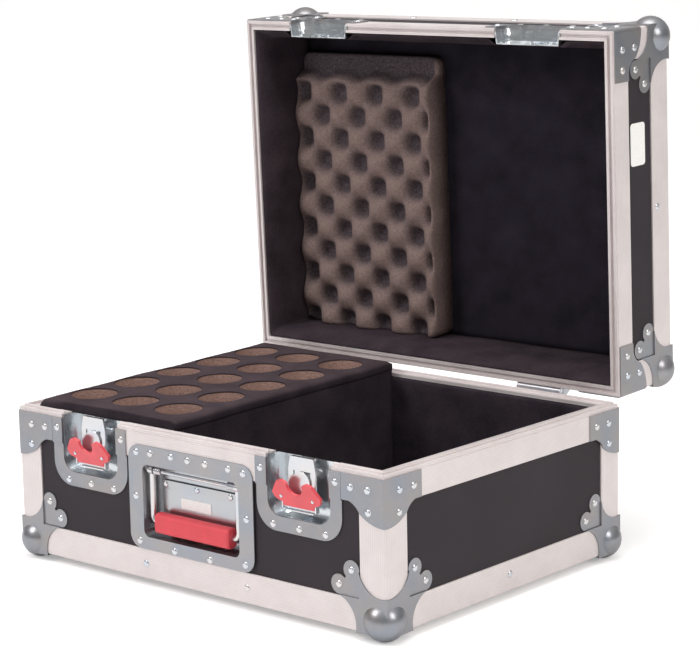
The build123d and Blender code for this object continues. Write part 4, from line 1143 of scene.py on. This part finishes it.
# %% [markdown]
# ## Tray: one pocket cell
# Cutting round holes with booleans would leave long thin faces. Here the top is laid out in
# square cells instead, one per pocket. Rings of points go from the round lip of the hole to
# the square edge of the cell, so the faces stay even and neighbouring cells meet exactly. The
# cut lip is slightly ragged, as scissors or a hole saw leave it.

# %% Pocket cells
SEGMENTS = 16                             # points along one side of a cell
CELL_RINGS = (0.35, 0.7, 1.0)             # share of the way from the lip to the cell's edge
RAGGED = 0.012
CLOTH_LIP = ((0.99, -0.0012), (0.995, -0.0006), (1.008, -0.0001), (1.03, 0.0))
FOAM_LIP = ((0.965, -POCKET_DEPTH), (0.975, -0.090), (0.985, -0.060), (0.99, -0.030),
            (0.995, -0.010), (1.0, -0.002), (1.01, -0.0004), (1.03, 0.0))


def square_point(cx, cy, half, k):
    """Point k of 4 x SEGMENTS round a cell's edge, kept inside the tray's left side."""
    side, step = divmod(k, SEGMENTS)
    t = 2 * step / SEGMENTS - 1
    x, y = ((cx + t * half, cy - half), (cx + half, cy + t * half),
            (cx - t * half, cy + half), (cx - half, cy - t * half))[side % 4]
    return max(x, TRAY_X[0]), y


def pocket_cell(build, cx, cy, height, lip, bottom):
    """The material round one hole, out to the edge of its cell; a foam pocket has a bottom."""
    border = [square_point(cx, cy, CELL / 2, k) for k in range(4 * SEGMENTS)]
    rings = []
    for scale, drop in lip:
        ring = []
        for x, y in border:
            reach = math.hypot(x - cx, y - cy)
            ragged = 1 + RAGGED * noise.noise(Vector((x * 90, y * 90, 2.0 + drop * 60)))
            r = POCKET_RADIUS * scale * ragged
            px, py = cx + (x - cx) / reach * r, cy + (y - cy) / reach * r
            ring.append(build.verts.new((px, py, height(px, py) + drop)))
        rings.append(ring)
    lip_ring = rings[-1]
    for part in CELL_RINGS:
        ring = []
        for start, (x, y) in zip(lip_ring, border):
            px = start.co.x + (x - start.co.x) * part
            py = start.co.y + (y - start.co.y) * part
            ring.append(build.verts.new((px, py, height(px, py))))
        rings.append(ring)
    bridge(build, rings)
    if bottom:
        build.faces.new(rings[0])


print("points round a pocket:", 4 * SEGMENTS)

# %% [markdown]
# ## Tray: the holed top
# The cells cover most of the top. Plain strips fill in the margins at the front, at the back
# and on the right. Patches are laid edge to edge and then welded, so that the top is one
# sheet for the smooth shading and for the cloth's thickness.

# %% The holed top
WELD = 0.00008


def tray_top(build, right, height, lip, bottom=False):
    """The holed top of the tray out to its edges; returns the coordinates along both."""
    for cx in POCKET_X:
        for cy in POCKET_Y:
            pocket_cell(build, cx, cy, height, lip, bottom)
    inner_x = (POCKET_X[0] - CELL / 2, POCKET_X[-1] + CELL / 2)
    inner_y = (POCKET_Y[0] - CELL / 2, POCKET_Y[-1] + CELL / 2)

    def surface(x, y):
        return (x, y, height(x, y))

    xs_in = [max(x, TRAY_X[0]) for x in spread(*inner_x, SEGMENTS * len(POCKET_X))]
    ys_in = spread(*inner_y, SEGMENTS * len(POCKET_Y))
    xs_right = spread(inner_x[1], right, 3)
    ys_front, ys_back = spread(TRAY_Y[0], inner_y[0], 3), spread(inner_y[1], TRAY_Y[1], 3)
    grid_patch(build, xs_right, ys_in, surface)
    for ys in (ys_front, ys_back):
        for xs in (xs_in, xs_right):
            grid_patch(build, xs, ys, surface)
    return xs_in + xs_right[1:], ys_front[:-1] + ys_in + ys_back[1:]


def weld(build):
    """Merge the points where patches meet."""
    bmesh.ops.remove_doubles(build, verts=build.verts, dist=WELD)
    return build


print("weld distance:", WELD, "m")

# %% [markdown]
# ## Tray: the foam block
# Under the cloth the foam shows only inside the holes, but there it shows right down, so the
# pockets are modelled to their full depth. They narrow slightly, as foam closes up behind a
# cutter. Plain sides and a floor close the mesh.

# %% Foam block
def tray_foam():
    """The foam block with its pockets, as one closed mesh."""
    build = bmesh.new()
    right = TRAY_X[1] - DIVIDER
    all_x, all_y = tray_top(build, right, foam_height, FOAM_LIP, True)

    def side(x, y, t):
        return (x, y, foam_height(x, y) * (1 - t) + TRAY_FLOOR * t)

    down = (0.0, 0.5, 1.0)
    for x in (TRAY_X[0], right):
        grid_patch(build, down, all_y, lambda t, y: side(x, y, t))
    for y in TRAY_Y:
        grid_patch(build, all_x, down, lambda x, t: side(x, y, t))
    grid_patch(build, all_x, TRAY_Y, lambda x, y: (x, y, TRAY_FLOOR))
    return weld(build)


foam_block = finish_mesh("tray_foam_block", tray_foam(), "foam_base", "base")
dress_soft(foam_block, "mic_tray_foam")
print("foam block:", len(foam_block.data.vertices), "vertices")

# %% [markdown]
# ## Tray: the divider board
# A thin board wrapped in the lining cloth stands between the tray and the storage space. Its
# rounded top edge follows the tray's surface, and its cloth bows out faintly. One outline is
# swept from front to back and capped at both ends.

# %% Divider board
BOARD_STEPS, BOARD_BOW, BOARD_BOW_LIMIT = 60, 0.0007, 0.0002
BOARD_TOP_FROM_EDGE, BOARD_BELOW_CLOTH, BOARD_END_GAP = 0.008, 0.0022, 0.0003
BOARD_LEFT_GAP, BOARD_RIGHT_GAP = 0.0001, 0.0002


def tray_divider():
    """The cloth-covered board beside the storage space."""
    left, right = TRAY_X[1] - DIVIDER + BOARD_LEFT_GAP, TRAY_X[1] - BOARD_RIGHT_GAP
    middle, round_over = (left + right) / 2, (right - left) / 2
    edge = [(middle - round_over * math.cos(a), -round_over * (1 - math.sin(a)))
            for a in spread(0.0, math.pi, 8)]
    build = bmesh.new()
    rings = []
    for y in spread(TRAY_Y[0] + BOARD_END_GAP, TRAY_Y[1] - BOARD_END_GAP, BOARD_STEPS):
        top = cover_height(TRAY_X[1] - BOARD_TOP_FROM_EDGE, y) - BOARD_BELOW_CLOTH
        outline = [(left, TRAY_FLOOR)] + [(x, top + below) for x, below in edge]
        outline += [(right, TRAY_FLOOR + (top - TRAY_FLOOR) * share)
                    for share in (0.75, 0.5, 0.25, 0.0)]
        ring = []
        for x, z in outline:
            bow = 0.0
            if x == right:
                bow = BOARD_BOW * noise.noise(Vector((y * 12, z * 12, 3.0)))
            ring.append(build.verts.new((x + min(bow, BOARD_BOW_LIMIT), y, z)))
        rings.append(ring)
    bridge(build, rings)
    build.faces.new(rings[0])
    build.faces.new(rings[-1])
    return build


board = finish_mesh("tray_divider_board", tray_divider(), "divider_cloth", "base")
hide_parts("mic_tray_divider")
print("divider:", len(board.data.vertices), "vertices")

# %% [markdown]
# ## Tray: the cloth
# One sheet of cloth with fifteen holes is stretched over the foam and turned down along the
# inner edge and the back. Its front edge is cut straight and turned down too, except at the
# free left corner, where it droops outwards. Stretched cloth follows what is under it, so it
# is built on the tray's surface and not simulated. Only the droop is given its own shape,
# short enough to stay inside the rim when the lid closes.

# %% Cloth over the tray
HEM_DROP, HEM_BOW, BACK_SLIP = 0.007, 0.0004, 0.0001
FLAP_STEPS, FLAP_DROP, FLAP_RUFFLE, FLAP_SWAY = 8, 0.0095, 0.0006, 0.0004
FLAP_TIGHT, FLAP_LOOSE = 0.0002, 0.0056   # how far out it stands where tight and where free
FREE_START_X, FREE_LENGTH = -0.183, 0.020


def flap_point(x, t):
    """A point of the front edge, from its fold at t = 0 to its cut at t = 1."""
    free = max(0.0, min(1.0, (FREE_START_X - x) / FREE_LENGTH))
    reach = FLAP_TIGHT + FLAP_LOOSE * ease(free)
    ruffle = noise.noise(Vector((x * 45, t * 1.5, 9.0)))
    out = reach * math.sin(t * math.pi / 2) + FLAP_SWAY * free * ruffle * t
    droop = FLAP_DROP * (1 - math.cos(t * math.pi / 2))
    fall = droop * free + FLAP_DROP * t * (1 - free)
    return (x, TRAY_Y[0] - out, cover_height(x, TRAY_Y[0]) - fall + FLAP_RUFFLE * ruffle * t)


def inner_hem(t, y):
    """The edge turned down over the divider, bowed a little."""
    bow = HEM_BOW * math.sin(math.pi * t)
    return (TRAY_X[1] + bow, y, cover_height(TRAY_X[1], y) - HEM_DROP * t)


def back_hem(x, t):
    """The edge turned down at the back."""
    return (x, TRAY_Y[1] + BACK_SLIP * t, cover_height(x, TRAY_Y[1]) - HEM_DROP * t)


def tray_cover():
    """The stretched sheet with its holes, margins and turned-down edges."""
    build = bmesh.new()
    all_x, all_y = tray_top(build, TRAY_X[1], cover_height, CLOTH_LIP)
    turn = spread(0.0, 1.0, 4)
    grid_patch(build, turn, all_y, inner_hem)
    grid_patch(build, all_x, turn, back_hem)
    grid_patch(build, all_x, spread(0.0, 1.0, FLAP_STEPS)[::-1], flap_point)
    return weld(build)


cover_build = tray_cover()
cover_area = sum(face.calc_area() for face in cover_build.faces)
cover = finish_mesh("tray_cloth_cover", cover_build, "cover_cloth", "base")
thicken = cover.modifiers.new("cloth_thickness", "SOLIDIFY")
thicken.thickness = 0.0008
thicken.offset = -1
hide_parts("mic_tray_cover")
print("cover area:", round(cover_area, 4), "m2")

# %% [markdown]
# ## Floor and backdrop
# A sheet of pale paper rolls up behind the case, so that no horizon shows. It is square to the
# camera, and wide enough to be the whole background from any side that matters. Camera rays
# alone see it glow a little: it comes out near white without adding light to the case, and
# the soft shadow stays.

# %% Backdrop sheet
FLOOR_FRONT, FLOOR_BACK, SWEEP, TOP_EDGE, SIDE_REACH = -6.0, 3.0, 1.5, 6.0, 7.0
BACKDROP_TURN = math.radians(41)


def backdrop():
    """A wide sheet that rolls from the floor up behind the case."""
    build = bmesh.new()
    profile = [(FLOOR_FRONT, 0.0), (FLOOR_BACK, 0.0)]
    profile += [(FLOOR_BACK + SWEEP * math.sin(a), SWEEP - SWEEP * math.cos(a))
                for a in spread(0, math.pi / 2, 12)[1:]]
    profile.append((FLOOR_BACK + SWEEP, TOP_EDGE))
    grid_patch(build, profile, (-SIDE_REACH, SIDE_REACH), lambda yz, x: (x, *yz))
    mesh = bpy.data.meshes.new("backdrop")
    build.transform(Matrix.Rotation(BACKDROP_TURN, 4, "Z"))
    build.to_mesh(mesh)
    build.free()
    for polygon in mesh.polygons:
        polygon.use_smooth = True
    piece = bpy.data.objects.new("backdrop", mesh)
    bpy.context.scene.collection.objects.link(piece)
    return piece


# %% Backdrop paper
PAPER_GLOW = 0.30

tree, shader = new_material("backdrop_paper")
backdrop_coords = add_node(tree, "ShaderNodeTexCoord")
mottle = noise_texture(tree, backdrop_coords.outputs["Object"], 3.0, 3.0)
tone = ramp(tree, mottle, [(0.3, (0.93, 0.93, 0.93)), (0.7, (0.95, 0.95, 0.95))])
link(tree, tone, shader.inputs["Base Color"])
shader.inputs["Roughness"].default_value = 0.9
seen = add_node(tree, "ShaderNodeLightPath").outputs["Is Camera Ray"]
link(tree, math_node(tree, "MULTIPLY", seen, PAPER_GLOW), shader.inputs["Emission Strength"])
shader.inputs["Emission Color"].default_value = (1.0, 1.0, 1.0, 1.0)
floor = backdrop()
floor.data.materials.append(finishes["backdrop_paper"])
print("backdrop:", len(floor.data.vertices), "vertices")

# %% [markdown]
# ## World and lamps
# The metal parts show what surrounds them more than what lights them. A world that is dim at
# the horizon and pale overhead gives every ball corner a bright top and a darker side. Three
# large soft boxes do the rest: a key from the front left, a fill from the right and one above.

# %% World
world = bpy.data.worlds.new("studio")
world.use_nodes = True
sky = world.node_tree
sky_coords = add_node(sky, "ShaderNodeTexCoord")
upward = separate(sky, sky_coords.outputs["Generated"])["Z"]
sky_tone = ramp(sky, upward, [(0.0, (0.22, 0.215, 0.21)), (0.35, (0.42, 0.41, 0.40)),
                              (1.0, (0.95, 0.94, 0.93))])
link(sky, sky_tone, sky.nodes["Background"].inputs["Color"])
bpy.context.scene.world = world
print("world:", world.name)

# %% Lamps
AIM = (0.0, 0.0, 0.18)


def area_light(name, place_at, size, energy, colour=(1, 1, 1)):
    """A soft box aimed at the case."""
    data = bpy.data.lights.new(name, "AREA")
    data.shape = "RECTANGLE"
    data.size, data.size_y = size
    data.energy = energy
    data.color = colour
    lamp = bpy.data.objects.new(name, data)
    lamp.location = place_at
    lamp.rotation_euler = (Vector(AIM) - Vector(place_at)).to_track_quat("-Z", "Y").to_euler()
    bpy.context.scene.collection.objects.link(lamp)


area_light("key_box", (-1.3, -2.3, 2.2), (1.0, 1.0), 36.0, (1.0, 0.975, 0.985))
area_light("fill_box", (2.5, -0.2, 1.5), (0.9, 1.1), 19.0, (1.0, 0.95, 0.91))
area_light("top_box", (0.2, -0.3, 2.6), (1.6, 1.6), 24.0)
print("lamps placed")

# %% [markdown]
# ## Camera
# The camera stands to the front right, slightly above the case, with a long lens that keeps
# the edges nearly parallel. Its direction is given by two angles and a slight roll, from which
# the three axes of its matrix follow.

# %% Camera
AZIMUTH, PITCH, ROLL = (math.radians(v) for v in (41.05, 10.58, -1.09))
CAMERA_PLACE = (1.5274, -1.7002, 0.6616)
SENSOR, LENS = 36.0, 120.76
PICTURE_SIZE = (700, 653)

back = Vector((math.sin(AZIMUTH) * math.cos(PITCH), -math.cos(AZIMUTH) * math.cos(PITCH),
               math.sin(PITCH)))
level_right = Vector((0, 0, 1)).cross(back).normalized()
level_up = back.cross(level_right)
turn_c, turn_s = math.cos(ROLL), math.sin(ROLL)
cam_right = level_right * turn_c + level_up * turn_s
cam_up = level_up * turn_c - level_right * turn_s
camera_data = bpy.data.cameras.new("camera")
camera_data.sensor_width = SENSOR
camera_data.lens = LENS
camera = bpy.data.objects.new("camera", camera_data)
camera.matrix_world = Matrix([
    (*row, offset) for row, offset in zip(zip(cam_right, cam_up, back), CAMERA_PLACE)]
    + [(0, 0, 0, 1)])
bpy.context.scene.collection.objects.link(camera)
scene = bpy.context.scene
scene.camera = camera
scene.render.resolution_x, scene.render.resolution_y = PICTURE_SIZE
scene.view_settings.view_transform = "Standard"
print("camera lens:", camera_data.lens)
